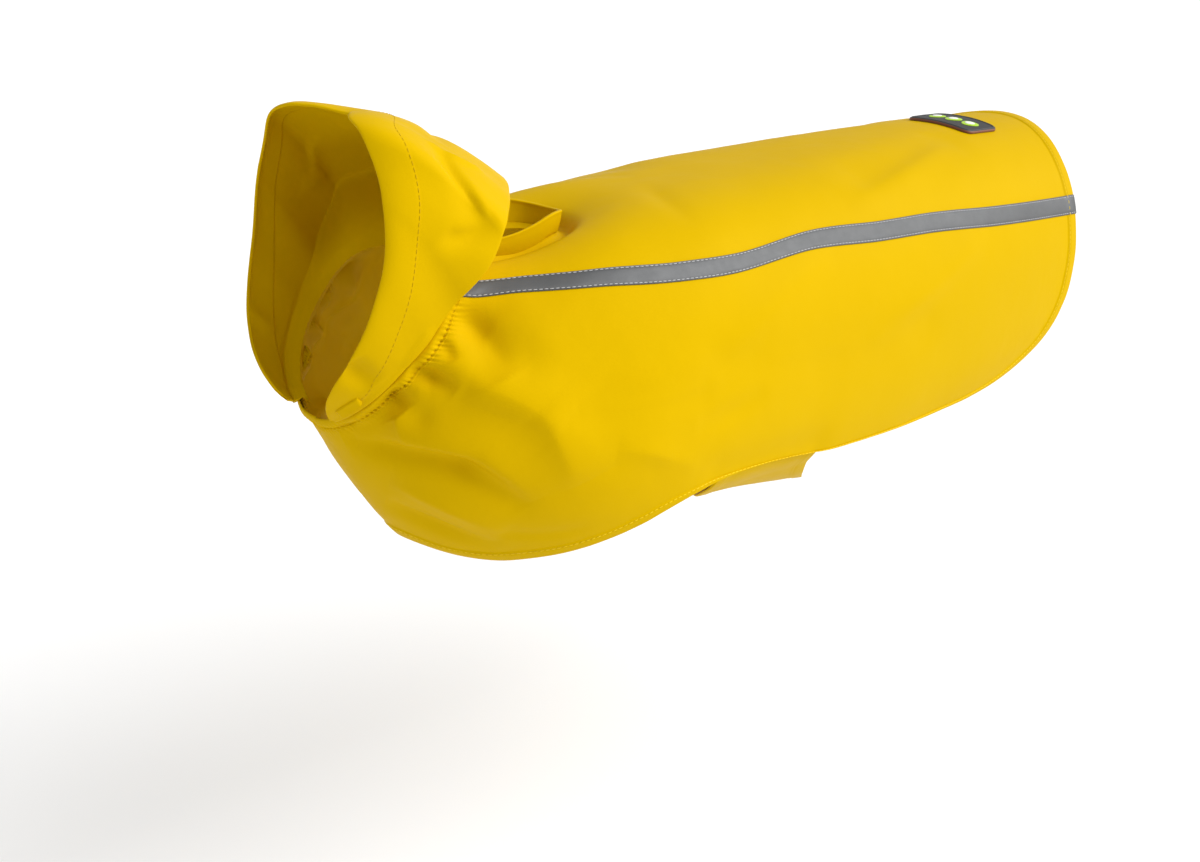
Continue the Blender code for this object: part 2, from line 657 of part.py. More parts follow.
def make_belly_flap(paint):
    """The flap is sewn inside the right side panel and closes inside the left one."""
    share = np.linspace(0, 1, FLAP_GRID[0])[:, None]
    around = np.linspace(FLAP_END, 360 - FLAP_END, FLAP_GRID[1])
    from_end = 180 - FLAP_END - np.abs(around - 180)
    under = (1 - np.cos(math.pi * from_end / (180 - FLAP_END))) / 2
    sewn_along, under_along = [front + (rear - front) * share for front, rear in (FLAP_ALONG, FLAP_UNDER)]
    along = sewn_along + (under_along - sewn_along) * under
    turned = np.where(around > 180, around - 360, around) + 0 * along
    full, ended = FLAP_LIFTED
    lifted = np.clip((ended - np.abs(around - 180)) / (ended - full), 0, 1)
    lift = FLAP_LIFT[0] + (FLAP_LIFT[1] - FLAP_LIFT[0]) * share
    outside = -FLAP_CLEARANCE - lift * lifted * lifted * (3 - 2 * lifted)
    free = np.clip((from_end - FLAP_SEWN) / FLAP_LEAVING, 0, 1)[:, None]
    sewn = cloth(along, turned)
    hung = form(along, turned, FLAP_SQUARE)
    smooth = sewn + (hung - sewn) * free * free * (3 - 2 * free)
    normals = form_normal(along, turned)
    outer = smooth + normals * outside[..., None]
    inner = smooth + normals * (outside - FLAP_CLOTH)[..., None]
    shell("belly_flap", outer, inner, paint)


def clear_scene():
    for piece in list(bpy.data.objects):
        bpy.data.objects.remove(piece, do_unlink=True)


def build_raincoat():
    clear_scene()
    rain_cloth = material("yellow_rain_cloth", (0.84, 0.57, 0.005), 0.42)
    tape = material("grey_reflective_tape", (0.21, 0.21, 0.21), 0.35)
    rubber = material("black_rubber", (0.02, 0.02, 0.02), 0.45)
    make_back_panel(rain_cloth)
    make_side_panels(rain_cloth)
    make_neck_casing(rain_cloth)
    make_tapes(tape)
    make_hood(rain_cloth)
    make_hood_tabs(rain_cloth)
    make_leash_collar(rain_cloth)
    make_patch(rubber)
    make_belly_flap(rain_cloth)


build_raincoat()
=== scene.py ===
import math

import bmesh
import bpy
import numpy as np
from mathutils import Euler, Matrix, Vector, noise


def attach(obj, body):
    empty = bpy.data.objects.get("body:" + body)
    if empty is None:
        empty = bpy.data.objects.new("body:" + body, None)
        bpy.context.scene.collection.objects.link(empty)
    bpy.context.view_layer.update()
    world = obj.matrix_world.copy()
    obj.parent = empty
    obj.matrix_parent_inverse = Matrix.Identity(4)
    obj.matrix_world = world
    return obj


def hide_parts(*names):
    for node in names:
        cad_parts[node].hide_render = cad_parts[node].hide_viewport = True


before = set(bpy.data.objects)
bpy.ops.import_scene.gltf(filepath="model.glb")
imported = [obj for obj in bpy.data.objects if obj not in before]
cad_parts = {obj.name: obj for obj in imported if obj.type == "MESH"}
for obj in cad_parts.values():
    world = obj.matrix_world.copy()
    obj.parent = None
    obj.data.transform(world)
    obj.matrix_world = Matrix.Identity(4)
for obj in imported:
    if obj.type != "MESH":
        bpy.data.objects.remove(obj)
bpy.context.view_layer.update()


# ----------------------------------------------------------
# The camera
# It stands off the wearer's left shoulder, a little above the back, and looks at the whole coat.
CAMERA_PLACE = (-0.40276, -0.53719, 0.16778)
CAMERA_AZIMUTH = math.radians(-42.576)
CAMERA_ELEVATION = math.radians(21.159)
CAMERA_LENS = 45.42
CAMERA_SENSOR = 36.0


def placed(name, data):
    """A new object, put in the scene."""
    made = bpy.data.objects.new(name, data)
    bpy.context.collection.objects.link(made)
    return made


lens = bpy.data.cameras.new("camera")
lens.lens = CAMERA_LENS
lens.sensor_width = CAMERA_SENSOR
camera = placed("camera", lens)
camera.location = CAMERA_PLACE
camera.rotation_euler = Euler((math.pi / 2 - CAMERA_ELEVATION, 0, CAMERA_AZIMUTH))
bpy.context.scene.camera = camera


# ----------------------------------------------------------
# The back panel
# One long panel of coated rain cloth from the neck to the rounded rear hem, between the two side seams.
# Its hem is turned in and stitched, and the leash slot is cut through it behind the hood.


def in_metres(rows, *columns):
    """A table whose given columns are written in millimetres. Places round the coat are in degrees."""
    table = np.array(rows, dtype=float)
    table[:, columns] /= 1000
    return table


# Sections of the worn coat. Each leans: its top is on the spine, its bottom under the belly.
SECTIONS = in_metres((
    # along, top_z, bottom_x, bottom_z, half_width, back_square, belly_square, bulge
    (-4, -0.5, -88, -40, 34, 2, 2, 13),
    (24, 3.5, -75, -64.5, 46, 2, 2, 13),
    (63, 8, -56.5, -101, 67, 2.8, 1.8, 12),
    (108, 11, -27, -140, 83, 3, 1.8, 8),
    (158, 12.5, 19, -166, 88, 2.9, 2.1, 4),
    (228, 13.5, 118, -174.5, 87, 2.7, 2.5, 0),
    (328, 13, 268, -170.5, 84, 2.5, 2.6, 0),
    (458, 8, 443, -158.5, 74, 2.2, 2.5, 0),
), 0, 1, 2, 3, 4, 7)

# The seam between the hood and the coat, from the spine to the throat.
NECKLINE = in_metres((
    # around, along
    (0, 0), (40, 0), (66, 4), (85, 13), (100, 19), (115, 21), (180, 23),
), 1)

# The hem, from the middle of the rear edge round the flank to the middle of the chest, with the place
# on the neckline where the rib that ends there starts.
HEM = in_metres((
    # along, around, start_around
    (435, -12, -14), (438, 0, 0), (435, 12, 14), (427, 28, 33), (419, 46, 56),
    (416, 64, 79), (417, 82, 86), (414, 98, 90.5), (400, 112, 94.5), (368, 120, 98),
    (318, 120, 101), (258, 115.5, 104), (203, 111.5, 108), (173, 115, 114), (152, 128.5, 130),
    (135, 143, 145), (125, 154, 156), (113.5, 164, 165), (103.5, 172, 172.5),
    (99, 180, 180), (103.5, 188, 187.5),
), 0)

# The side seam under the tape.
SIDE_SEAM = in_metres((
    # along, around
    (5, 76.5), (19, 72.4), (38, 64.8), (58, 60), (98, 55), (133, 52.8),
    (178, 49.5), (233, 51.5), (274, 53), (328, 56.5), (418, 61),
), 0)

# The broad folds that the coat hangs in. A negative height is a valley.
FOLDS = in_metres((
    # start_along, start_around, end_along, end_around, half_width, height
    (26, 0, 43, 0, 29, -10),  # the hollow round the leash slot
    (88, -42, 134, -26, 18, -2.6),
    (36, 82, 56, 92, 9, -1.8),  # left shoulder, under the hood
    (34, 113, 44, 111, 6, -1.6),
    (31, 128, 40, 129, 6, -2),
    (42, 150, 70, 132, 8, -1.8),  # long valley over the left chest
    (70, 132, 96, 130, 8, -1.6),
    (44, 108, 81, 102, 14, 1.6),  # ridge above it
    (81, 102, 103, 111, 14, 1),
    (86, 101, 141, 86, 9, -1.2),
    (151, 80, 282, 84, 12, -1.2),  # drag line along the left flank
    (178, 109, 233, 110, 9, -1),
    (238, 32, 328, 22, 14, -1.2),  # drag line to the patch
    (40, -86, 68, -94, 10, -2.8),  # right shoulder and chest
    (38, -114, 52, -110, 7, -2.6),
    (44, -146, 80, -124, 8, -3),
    (48, -112, 88, -103, 10, 2.4),
    (90, -99, 148, -88, 10, -1.2),
    (168, -84, 266, -80, 12, -1.2),  # drag lines on the right flank and back
    (198, -108, 253, -111, 10, -1),
    (248, -34, 328, -24, 14, -1.2),
), 0, 2, 4, 5)

# The welt round the leash slot, from its end under the hood to the middle of its rear.
COLLAR = in_metres((
    # step, along, sideways, height, lean_forward
    (0, 14, 25, 8.5, 0),
    (1, 29, 25, 11.2, 0),
    (2, 43, 21.6, 11.6, 0),
    (3, 54, 12.5, 11.2, 0.6),
    (4, 58, 0, 10.8, 1),
    (5, 54, -12.5, 11.2, 0.6),
), 1, 2, 3, 4)

# Lines along which two flat parts of the cloth meet, over three places. Each side falls away over its own
# width. A negative height is a valley.
FOLD_LINES = in_metres((
    # along, around, over_along, over_around, to_along, to_around, upper_width, lower_width, height
    (36, 162.5, 59, 129.5, 101, 127.5, 13, 3.2, 4),  # left chest, above the long valley
    (60, 160, 80, 148, 108, 141, 8.5, 5, 3.4),  # and below it, towards the hem
    (33, 115, 57, 105, 86, 106, 20, 6, 3),  # bright shoulder plane
    (74, 104, 90, 109, 110, 117, 20, 5, 2.6),
    (88, 99, 120, 89.5, 172, 78.5, 12, 7, 1.3),  # long drag line along the flank
    (166, 79.5, 222, 80.5, 292, 86, 12, 8, 1.1),
    (115, 104.5, 136, 103.5, 166, 107, 8, 4.5, 1.4),
    (38, -161, 61, -132, 102, -128, 12.5, 3.4, 3.6),  # right chest
    (64, -160, 84, -150, 106, -143, 8, 5.5, 2.9),
    (36, -112, 61, -104, 88, -107, 19, 6.5, 2.7),
    (78, -105, 94, -111, 110, -118, 19, 5.5, 2.1),
    (92, -97, 128, -90, 186, -80, 12, 8, 1.2),  # and right flank
    (182, -82, 232, -79, 300, -84, 12, 8.5, 1),
), 0, 2, 4, 6, 7, 8)

# Softer creases, in the same way.
CREASES = in_metres((
    # along, around, over_along, over_around, to_along, to_around, upper_width, lower_width, height
    (36, 167, 59, 135, 102, 130, 3.4, 7.5, -3.2),  # the long valley itself
    (70, 169, 90, 157, 114, 147, 4.8, 7, -2.6),
    (34, 123, 56, 113.5, 86, 109.5, 5, 9, -1.6),
    (29, 168, 33, 150, 37, 138, 7, 11, -3.4),  # the chest sinks in under the throat
    (104, 143, 120, 135.5, 134, 127, 4.5, 4, -0.9),  # above the hem under the chest
    (13, 127.5, 25.5, 131.5, 35, 133, 5, 8, -6.4),  # tucks that run out of the gathers
    (24, 150, 28, 143, 36, 137, 4, 5, -1.8),
    (17, 119.5, 29.5, 114.5, 43, 112.5, 3, 4.2, -4),
    (20, 100, 27.5, 102, 34, 105, 3, 3.4, -2),
    (19, 81, 37, 91, 55, 100, 7.5, 11, -5.6),
    (17, 86, 28, 88, 39, 89, 5.5, 6, -2.2),
    (198, 54, 163, 64.5, 142, 78, 10, 9, 1.4),  # slanting swells of the left side
    (323, 61, 280, 72, 240, 82, 8.5, 8, 1.4),
    (332, 23, 271, 34.5, 214, 42, 6, 9, 1.5),  # swell from the patch to the tape
    (116, 4, 103, 22.5, 108, 40, 6, 6, -0.8),
    (150, 96, 168, 92.5, 184, 89, 6, 6, -0.8),
    (114, -141, 126, -133, 138, -126, 4.5, 4, -0.8),
    (14, -126, 26, -130, 36, -133, 5, 7.5, -5.6),
    (36, -166, 60, -137, 103, -131, 3.6, 7.5, -2.8),
    (70, -169, 92, -158, 112, -149, 5, 7, -2.2),
    (24, -148, 28, -139, 36, -133, 4, 5, -1.5),
    (20, -113, 31, -114, 43, -113, 3.2, 4.4, -3.6),
    (22, -96, 29, -100, 37, -104, 3, 3.4, -2.6),
    (21, -81, 38, -90, 56, -98, 7.2, 10.5, -5),
    (206, -54, 176, -66, 150, -79, 10, 9, 1.3),
    (336, -60, 296, -70, 262, -83, 9, 8.5, 1.4),
    (338, -22, 284, -33, 226, -43, 6.5, 9, 1.4),
    (126, -6, 112, -20, 116, -37, 6, 6.5, -0.7),
), 0, 2, 4, 6, 7, 8)

CLOTH_OUTSIDE = 0.0014     # the outer face of single cloth, measured from the worn form
CLOTH_THICKNESS = 0.0007
HEM_OUTSIDE = 0.0021       # the outer face of the turned hem
HEM_INSIDE = 0.0002
HEM_DEPTH = 0.0095
HEM_STITCH = 0.0080        # from the hem's edge to its stitch line
GROOVE_DEPTH = 0.00032     # how far a stitch line draws the cloth in
GROOVE_WIDTH = 0.0008
STITCH_PUCKER = 0.00016    # height and reach of the small puckers along a stitch line
PUCKERED = 0.005
EDGE_ROUND = 0.0010        # the turned edge rounds off over this distance
SEAM_GAP = 0.0003
CRUMPLE = 0.00028          # heights of the cloth's faint unevenness
FINE_CRUMPLE = 0.00010
LINE_ROUNDING = 0.0028     # radius of the cloth where it bends along a line
FOLD_START = 0.0045        # the folds grow over this distance behind the hood seam
CASING_EDGE = 0.0062       # lower edge of the neck casing, from the hood seam
GATHER_LINE = 0.0048
GATHER_PITCH = 0.0024      # small puckers, and broader ones between them
GATHER_HEIGHT = 0.00075
GATHER_REACH = 0.0024
GATHER_ABOVE = 0.0014      # how far they run on above the line
GATHER_SLANT = 0.5
PUCKER_HEIGHT = 0.0011
PUCKER_REACH = 0.011
NECK_RADIUS = 0.0585
PANEL_START = 0.0036       # the panels begin under the casing
TAPE_WIDTH = 0.0112
SLOT_FRONT = 0.0180        # the leash slot
SLOT_INSET = 0.0105
SLOT_HALF_WIDTH = 0.0266    # round the welt the cloth sinks into a narrow valley
SLOT_DEPTH = 0.0050
SLOT_SLOPE = 0.0042
SLOT_CUT_REACH = 0.012
BACK_RIBS = 62
SIDE_RIBS = 228
PANEL_ROWS = 165           # closest together at the gathers
ROW_GROWTH = 1.45
HEM_ZONE = 0.0145          # from the hem's edge, where the rows of the hem take over
SHARP_EDGE = 55            # degrees between faces from which an edge isn't smoothed
# Distances from the hem's edge at which the hem has a row of points, in millimetres.
HEM_ROWS = (13, 11.6, 10.6, 10, 9.5, 9.1, 8.7, 8.35, 8, 7.65, 7.3, 6.8, 6, 5, 4, 3, 2.1, 1.4,
            0.9, 0.55, 0.28, 0.1, 0)


def smooth_table(rows, at):
    """Columns of a table, read along smooth curves at the values `at` of its first column."""
    rows = np.asarray(rows)
    knots, values = rows[:, 0], rows[:, 1:]
    slopes = np.gradient(values, knots, axis=0)
    at = np.clip(np.asarray(at, dtype=float), knots[0], knots[-1])
    left = np.clip(np.searchsorted(knots, at, side="right") - 1, 0, len(knots) - 2)
    span = (knots[left + 1] - knots[left])[..., None]
    t = (at - knots[left])[..., None] / span
    return ((2 * t**3 - 3 * t**2 + 1) * values[left]
            + (t**3 - 2 * t**2 + t) * span * slopes[left]
            + (3 * t**2 - 2 * t**3) * values[left + 1]
            + (t**3 - t**2) * span * slopes[left + 1])


COAT_REACH = (SECTIONS[0][0], SECTIONS[-1][0])


def unit(vectors):
    return vectors / np.linalg.norm(vectors, axis=-1, keepdims=True)


def form(along, around, belly=None):
    """The worn form of the coat, without folds. `around` is in degrees from the spine by the left side."""
    along, around = np.broadcast_arrays(np.asarray(along, float), np.asarray(around, float))
    columns = smooth_table(SECTIONS, along)
    top_z, bottom_x, bottom_z, half_width, back_square, belly_square, bulge = np.moveaxis(columns, -1, 0)
    cosine = np.cos(np.radians(around))
    sine = np.sin(np.radians(around))
    belly_square = belly_square if belly is None else belly
    square = back_square + (belly_square - back_square) * (1 - cosine) / 2
    reach = (np.abs(cosine)**square + np.abs(sine)**square)**(-1 / square)
    half_x = (along - bottom_x) / 2
    half_z = (top_z - bottom_z) / 2
    half_height = np.hypot(half_x, half_z)
    forward = bulge * sine**2
    x = bottom_x + half_x * (1 + reach * cosine) - forward * half_z / half_height
    z = bottom_z + half_z * (1 + reach * cosine) + forward * half_x / half_height
    y = -half_width * reach * sine
    return np.stack([x, y, z], axis=-1)


def slopes_of(surface, first, second, first_range):
    """Directions of a surface along its first and its second value."""
    step = 1e-4
    turn = 0.2
    ahead = np.clip(first + step, *first_range)
    behind = np.clip(first - step, *first_range)
    along_first = (surface(ahead, second) - surface(behind, second)) / (ahead - behind)[..., None]
    along_second = surface(first, second + turn) - surface(first, second - turn)
    return along_first, along_second / (2 * turn)


def form_normal(along, around):
    """Direction out of the coat."""
    along, around = np.broadcast_arrays(np.asarray(along, float), np.asarray(around, float))
    first, second = slopes_of(form, along, around, COAT_REACH)
    return unit(np.cross(second, first))


def neckline(around):
    """`along` of the hood seam."""
    return smooth_table(NECKLINE, np.abs(around))[..., 0]


SLOT_AXIS = form(np.array([0.0, 0.033]), 0)
FOLD_WAYS = [(form(row[0], row[1]), form(row[2], row[3]), row[4], row[5]) for row in FOLDS]


def eased(share):
    """The share between 0 and 1, with a soft start and end."""
    share = np.clip(share, 0, 1)
    return share * share * (3 - 2 * share)


def rounded(distance, radius):
    """Share of its thickness that a turned edge has at these distances from its end."""
    return np.sqrt(np.clip(1 - np.clip(1 - distance / radius, 0, 1)**2, 0, 1))


def from_line(points, start, end):
    """Distances of points from a straight line between two others."""
    axis = end - start
    share = np.clip((points - start) @ axis / (axis @ axis), 0, 1)
    return np.linalg.norm(points - start - share[..., None] * axis, axis=-1)


def fold_height(points):
    """How far the broad folds push these points of the worn form out."""
    height = np.zeros(points.shape[:-1])
    for start, end, half_width, depth in FOLD_WAYS:
        height += depth * np.exp(-(from_line(points, start, end) / half_width)**2)
    from_welt = from_line(points, *SLOT_AXIS) - SLOT_HALF_WIDTH
    return height - SLOT_DEPTH * np.exp(-(from_welt / SLOT_SLOPE)**2)


def crease_height(points, rows, surface, rounding=None):
    """How far the creases of a table push these points of a surface out. Crisp ones have a rounding."""
    flat = points.reshape(-1, 3)
    height = np.zeros(len(flat))
    share = np.linspace(0, 1, 13)
    for *places, upper_width, lower_width, depth in rows:
        first, middle, last = np.array(places, dtype=float).reshape(3, 2)
        bend = (share * (1 - share) * 4)[:, None]
        way = first + (last - first) * share[:, None] + (middle - (first + last) / 2) * bend
        path = surface(way[:, 0], way[:, 1])
        upper = surface(way[:, 0], way[:, 1] * 0.97) - path
        reach = (4.5 if rounding else 3) * max(upper_width, lower_width)
        inside = (flat > path.min(axis=0) - reach) & (flat < path.max(axis=0) + reach)
        near = np.flatnonzero(inside.all(axis=1))
        nearest = np.full(len(near), np.inf)
        side = np.zeros(len(near))
        reached = np.zeros(len(near))
        for number in range(len(path) - 1):
            axis = path[number + 1] - path[number]
            offset = flat[near] - path[number]
            t = np.clip(offset @ axis / (axis @ axis), 0, 1)
            away = offset - t[:, None] * axis
            distance = np.linalg.norm(away, axis=-1)
            closer = distance < nearest
            nearest = np.where(closer, distance, nearest)
            side = np.where(closer, away @ upper[number], side)
            reached = np.where(closer, (number + t) / (len(path) - 1), reached)
        width = np.where(side > 0, upper_width, lower_width)
        if rounding:
            fall = (np.hypot(nearest, rounding) - rounding) / width
        else:
            fall = (nearest / width)**2
        height[near] += depth * np.exp(-fall) * np.sin(math.pi * reached)**0.8
    return height.reshape(points.shape[:-1])


def crumple(points, size, seed):
    """Soft uneven height between -1 and 1, with swells about `size` wide."""
    flat = points.reshape(-1, 3) / size + seed
    values = np.array([noise.noise(Vector(place)) for place in flat])
    return values.reshape(points.shape[:-1])


def gathers(around, distance):
    """The small puckers that the elastic draws in the cloth on both sides of the gathered line."""
    run = np.radians(around) * NECK_RADIUS
    uneven = crumple(np.stack([run, 0 * run, 0 * run], axis=-1), 0.006, 3.7)
    broad = crumple(np.stack([run, 0 * run + 0.05, 0 * run], axis=-1), 0.016, 8.1)
    slanted = run + GATHER_SLANT * (distance - GATHER_LINE)
    fine = np.sin(slanted / GATHER_PITCH * 2 * math.pi + 3.4 * uneven)
    below = np.clip(distance - GATHER_LINE, 0, None)
    above = np.clip(GATHER_LINE - distance, 0, None)
    strength = np.exp(-below / (GATHER_REACH + 0.0018 * broad)) * np.exp(-above / GATHER_ABOVE)
    small = GATHER_HEIGHT * fine * strength * (0.8 + 0.7 * uneven)
    return small + PUCKER_HEIGHT * broad * np.exp(-below / PUCKER_REACH)


def folded(along, around, distance=1.0):
    """Points of the folded coat, `distance` from the hood seam, and their directions outwards."""
    along, around = np.broadcast_arrays(np.asarray(along, float), np.asarray(around, float))
    smooth = form(along, around)
    grown = eased((along - neckline(around)) / FOLD_START)
    creased = crease_height(smooth, CREASES, form) + crease_height(smooth, FOLD_LINES, form, LINE_ROUNDING)
    rise = (fold_height(smooth) + creased) * grown
    rise = rise + CRUMPLE * crumple(smooth, 0.030, 1.3) + FINE_CRUMPLE * crumple(smooth, 0.011, 5.2)
    rise = rise + gathers(around, distance)
    outwards = form_normal(along, around)
    return smooth + outwards * rise[..., None], outwards


def cloth(along, around, lift=0.0, distance=1.0):
    """Points `lift` outside the folded coat."""
    points, outwards = folded(along, around, distance)
    return points + outwards * np.broadcast_to(lift, points.shape[:-1])[..., None]


def faces_of(along, around, above, below, distance=1.0):
    """Outer and inner face of the cloth, at these lifts."""
    points, outwards = folded(along, around, distance)
    return points + outwards * above[..., None], points + outwards * below[..., None]


def side_seam_around(along):
    return smooth_table(SIDE_SEAM, along)[..., 0]


def sideways(along, around, distance):
    """`around` of the points that lie `distance` further down the side."""
    turn = 0.2
    step = form(along, around + turn) - form(along, around - turn)
    return around + distance / np.linalg.norm(step, axis=-1) * 2 * turn


def hem_point(number):
    """Values of the left hem at a place counted in rows of its table."""
    numbered = [(row, *values) for row, values in enumerate(HEM)]
    return np.moveaxis(smooth_table(numbered, number), -1, 0)


LAST_HEM_ROW = len(HEM) - 2
HEM_NUMBERS = np.linspace(0, LAST_HEM_ROW, 600)
REAR_HEM_ROWS = 6          # rows of the hem's table before it turns forward
HEM_ALONG, HEM_AROUND, _ = hem_point(HEM_NUMBERS)
SEAM_AT_NECK = SIDE_SEAM[0][1]
SEAM_FADE = 4              # power by which the ribs beside the tape lose its bow
PATH_STEPS = 160


def back_rib(share):
    """Rib of the back panel, from share 0 on the spine to share 1 on the side seam."""
    steps = np.linspace(0, 1, PATH_STEPS)
    hem_around = share * SIDE_SEAM[-1][1]
    rear = HEM_NUMBERS < REAR_HEM_ROWS
    hem_along = np.interp(hem_around, HEM_AROUND[rear], HEM_ALONG[rear])
    neck_along = float(neckline(share * SEAM_AT_NECK))
    along = neck_along + (hem_along - neck_along) * steps
    return along, share * side_seam_around(along)


def shifted_seam(distance):
    """The side seam, moved down the side by `distance`."""
    along, around = back_rib(1.0)
    return along, sideways(along, around, distance)


def side_rib(share):
    """Rib of the side panel, from share 0 beside the tape to share 1 at the middle of the chest."""
    steps = np.linspace(0, 1, PATH_STEPS)
    seam_along, seam_around = shifted_seam(TAPE_WIDTH / 2)
    to_seam = form(HEM_ALONG, HEM_AROUND) - form(seam_along[-1], seam_around[-1])
    first = HEM_NUMBERS[np.argmin(np.linalg.norm(to_seam, axis=-1))]
    hem_along, hem_around, neck_around = hem_point(first + share * (LAST_HEM_ROW - first))
    near_seam = (1 - share)**SEAM_FADE
    neck_around = neck_around + (seam_around[0] - hem_point(first)[2]) * near_seam
    straight_seam = seam_around[0] + (seam_around[-1] - seam_around[0]) * steps**2
    seam_bow = (seam_around - straight_seam) * near_seam
    neck_along = float(neckline(neck_around))
    along = neck_along + (hem_along - neck_along) * steps
    return along, neck_around + (hem_around - neck_around) * steps**2 + seam_bow


def walk(path, distances):
    """Values `along` and `around` of a rib at these distances from the hood seam."""
    along, around = path
    points = form(along, around)
    length = np.concatenate([[0], np.cumsum(np.linalg.norm(np.diff(points, axis=0), axis=1))])
    distances = np.asarray([d if d >= 0 else length[-1] + d for d in distances])
    return np.interp(distances, length, along), np.interp(distances, length, around), length[-1]


def seam_length(distance):
    """Length of the side seam, moved down the side by `distance`."""
    return walk(shifted_seam(distance), [0.0])[2]


def hem_profile(edge):
    """Outer and inner face of a turned and stitched edge, at these distances from it."""
    turned = eased((HEM_DEPTH + 0.0004 - edge) / 0.0012)
    outer = CLOTH_OUTSIDE + (HEM_OUTSIDE - CLOTH_OUTSIDE) * turned
    outer = outer - GROOVE_DEPTH * np.exp(-((edge - HEM_STITCH) / GROOVE_WIDTH)**2)
    inner = np.where(edge < HEM_DEPTH, HEM_INSIDE, CLOTH_OUTSIDE - CLOTH_THICKNESS)
    fullness = rounded(edge, EDGE_ROUND)
    middle = (HEM_OUTSIDE + HEM_INSIDE) / 2
    return middle + (outer - middle) * fullness, middle + (inner - middle) * fullness


def panel_sheets(paths):
    """Outer and inner points of a panel and their places on the flat cloth, rows by ribs."""
    walked = []
    for path, side in paths:
        length = walk(path, [0.0])[2]
        body = PANEL_START + (length - PANEL_START - HEM_ZONE) * np.linspace(0, 1, PANEL_ROWS)**ROW_GROWTH
        distances = np.concatenate([body, length - np.array(HEM_ROWS) / 1000])
        along, around, _ = walk(path, distances)
        walked.append((along, side * around, distances, length - distances))
    along, around, distances, edge = np.array(walked).transpose(1, 2, 0)
    above, below = hem_profile(edge)
    drawn = np.exp(-((edge - HEM_STITCH) / PUCKERED)**2)
    pucker = STITCH_PUCKER * crumple(form(along, around), 0.0055, 2.9) * drawn
    places = np.stack([around / 1000, distances], axis=-1)
    return *faces_of(along, around, above + pucker, below + pucker, distances), places


def cloth_shell(name, finish, outer, inner, places, closed=False):
    """A thin closed wall between two grids of points, rows by columns, with its finish."""
    rows, columns = outer.shape[:2]
    index = np.arange(rows * columns).reshape(rows, columns)
    if closed:
        index = np.concatenate([index, index[:, :1]], axis=1)
    corners = np.stack([index[:-1, :-1], index[1:, :-1], index[1:, 1:], index[:-1, 1:]], axis=-1)
    corners = corners.reshape(-1, 4)
    offset = rows * columns
    faces = [corners, corners[:, ::-1] + offset]
    rims = [index[0], index[-1]]
    if not closed:
        rims += [index[:, 0], index[:, -1]]
    for rim in rims:
        faces.append(np.stack([rim[:-1], rim[1:], rim[1:] + offset, rim[:-1] + offset], axis=-1))
    points = np.concatenate([outer.reshape(-1, 3), inner.reshape(-1, 3)])
    mesh = bpy.data.meshes.new(name)
    mesh.from_pydata(points.tolist(), [], np.concatenate(faces).tolist())
    work = bmesh.new()
    work.from_mesh(mesh)
    bmesh.ops.recalc_face_normals(work, faces=work.faces)
    work.to_mesh(mesh)
    work.free()
    uv = mesh.uv_layers.new(name="cloth")
    flat = np.concatenate([places.reshape(-1, 2)] * 2)
    corner_vertices = np.zeros(len(mesh.loops), dtype=np.int32)
    mesh.loops.foreach_get("vertex_index", corner_vertices)
    uv.data.foreach_set("uv", flat[corner_vertices].ravel())
    mesh.shade_smooth()
    mesh.set_sharp_from_angle(angle=math.radians(SHARP_EDGE))
    mesh.materials.append(finish)
    return placed(name, mesh)


class Value:
    """One output of a shader node, which Python sums can use."""

    def __init__(self, finish, socket):
        self.finish = finish
        self.socket = socket

    def maths(self, operation, first, second):
        return self.finish.node("ShaderNodeMath", {"operation": operation}, {0: first, 1: second})

    def __add__(self, other):
        return self.maths("ADD", self, other)

    def __radd__(self, other):
        return self.maths("ADD", other, self)

    def __mul__(self, other):
        return self.maths("MULTIPLY", self, other)

    def __rmul__(self, other):
        return self.maths("MULTIPLY", other, self)


class Finish:
    """A procedural material of one of the coat's surfaces."""

    def __init__(self, name, **constants):
        self.material = bpy.data.materials.new(name)
        self.material.use_nodes = True
        self.tree = self.material.node_tree
        self.surface = self.tree.nodes["Principled BSDF"]
        for socket, value in constants.items():
            self.surface.inputs[socket.replace("_", " ")].default_value = value

    def node(self, kind, settings, sockets, output=0):
        made = self.tree.nodes.new(kind)
        for name, value in settings.items():
            if name == "stops":
                for stop, (position, shade) in zip((*made.color_ramp.elements, None), value):
                    stop = stop or made.color_ramp.elements.new(position)
                    stop.position = position
                    stop.color = (shade, shade, shade, 1)
            else:
                setattr(made, name, value)
        for name, value in sockets.items():
            self.feed(made.inputs[name], value)
        return Value(self, made.outputs[output])

    def feed(self, socket, value):
        if isinstance(value, Value):
            self.tree.links.new(value.socket, socket)
        else:
            socket.default_value = value

    def place(self, output="Object"):
        return self.node("ShaderNodeTexCoord", {}, {}, output)

    def swells(self, scale, detail=2.0):
        sockets = {"Vector": self.place(), "Scale": scale, "Detail": detail}
        return self.node("ShaderNodeTexNoise", {}, sockets, "Fac")

    def blend(self, factor, first, second):
        sockets = {0: factor, 6: (*first, 1) if isinstance(first, tuple) else first, 7: (*second, 1)}
        return self.node("ShaderNodeMix", {"data_type": "RGBA"}, sockets, 2)

    def coloured(self, factor, first, second):
        self.feed(self.surface.inputs["Base Color"], self.blend(factor, first, second))

    def rough(self, roughness):
        self.feed(self.surface.inputs["Roughness"], roughness)

    def relief(self, height, distance):
        bump = self.node("ShaderNodeBump", {}, {"Height": height, "Distance": distance})
        self.feed(self.surface.inputs["Normal"], bump)


RAIN_YELLOW = (0.590, 0.375, 0.0006)
RAIN_YELLOW_DEEP = (0.555, 0.345, 0.0005)
RAIN_SHEEN = (1.0, 0.72, 0.04, 1.0)


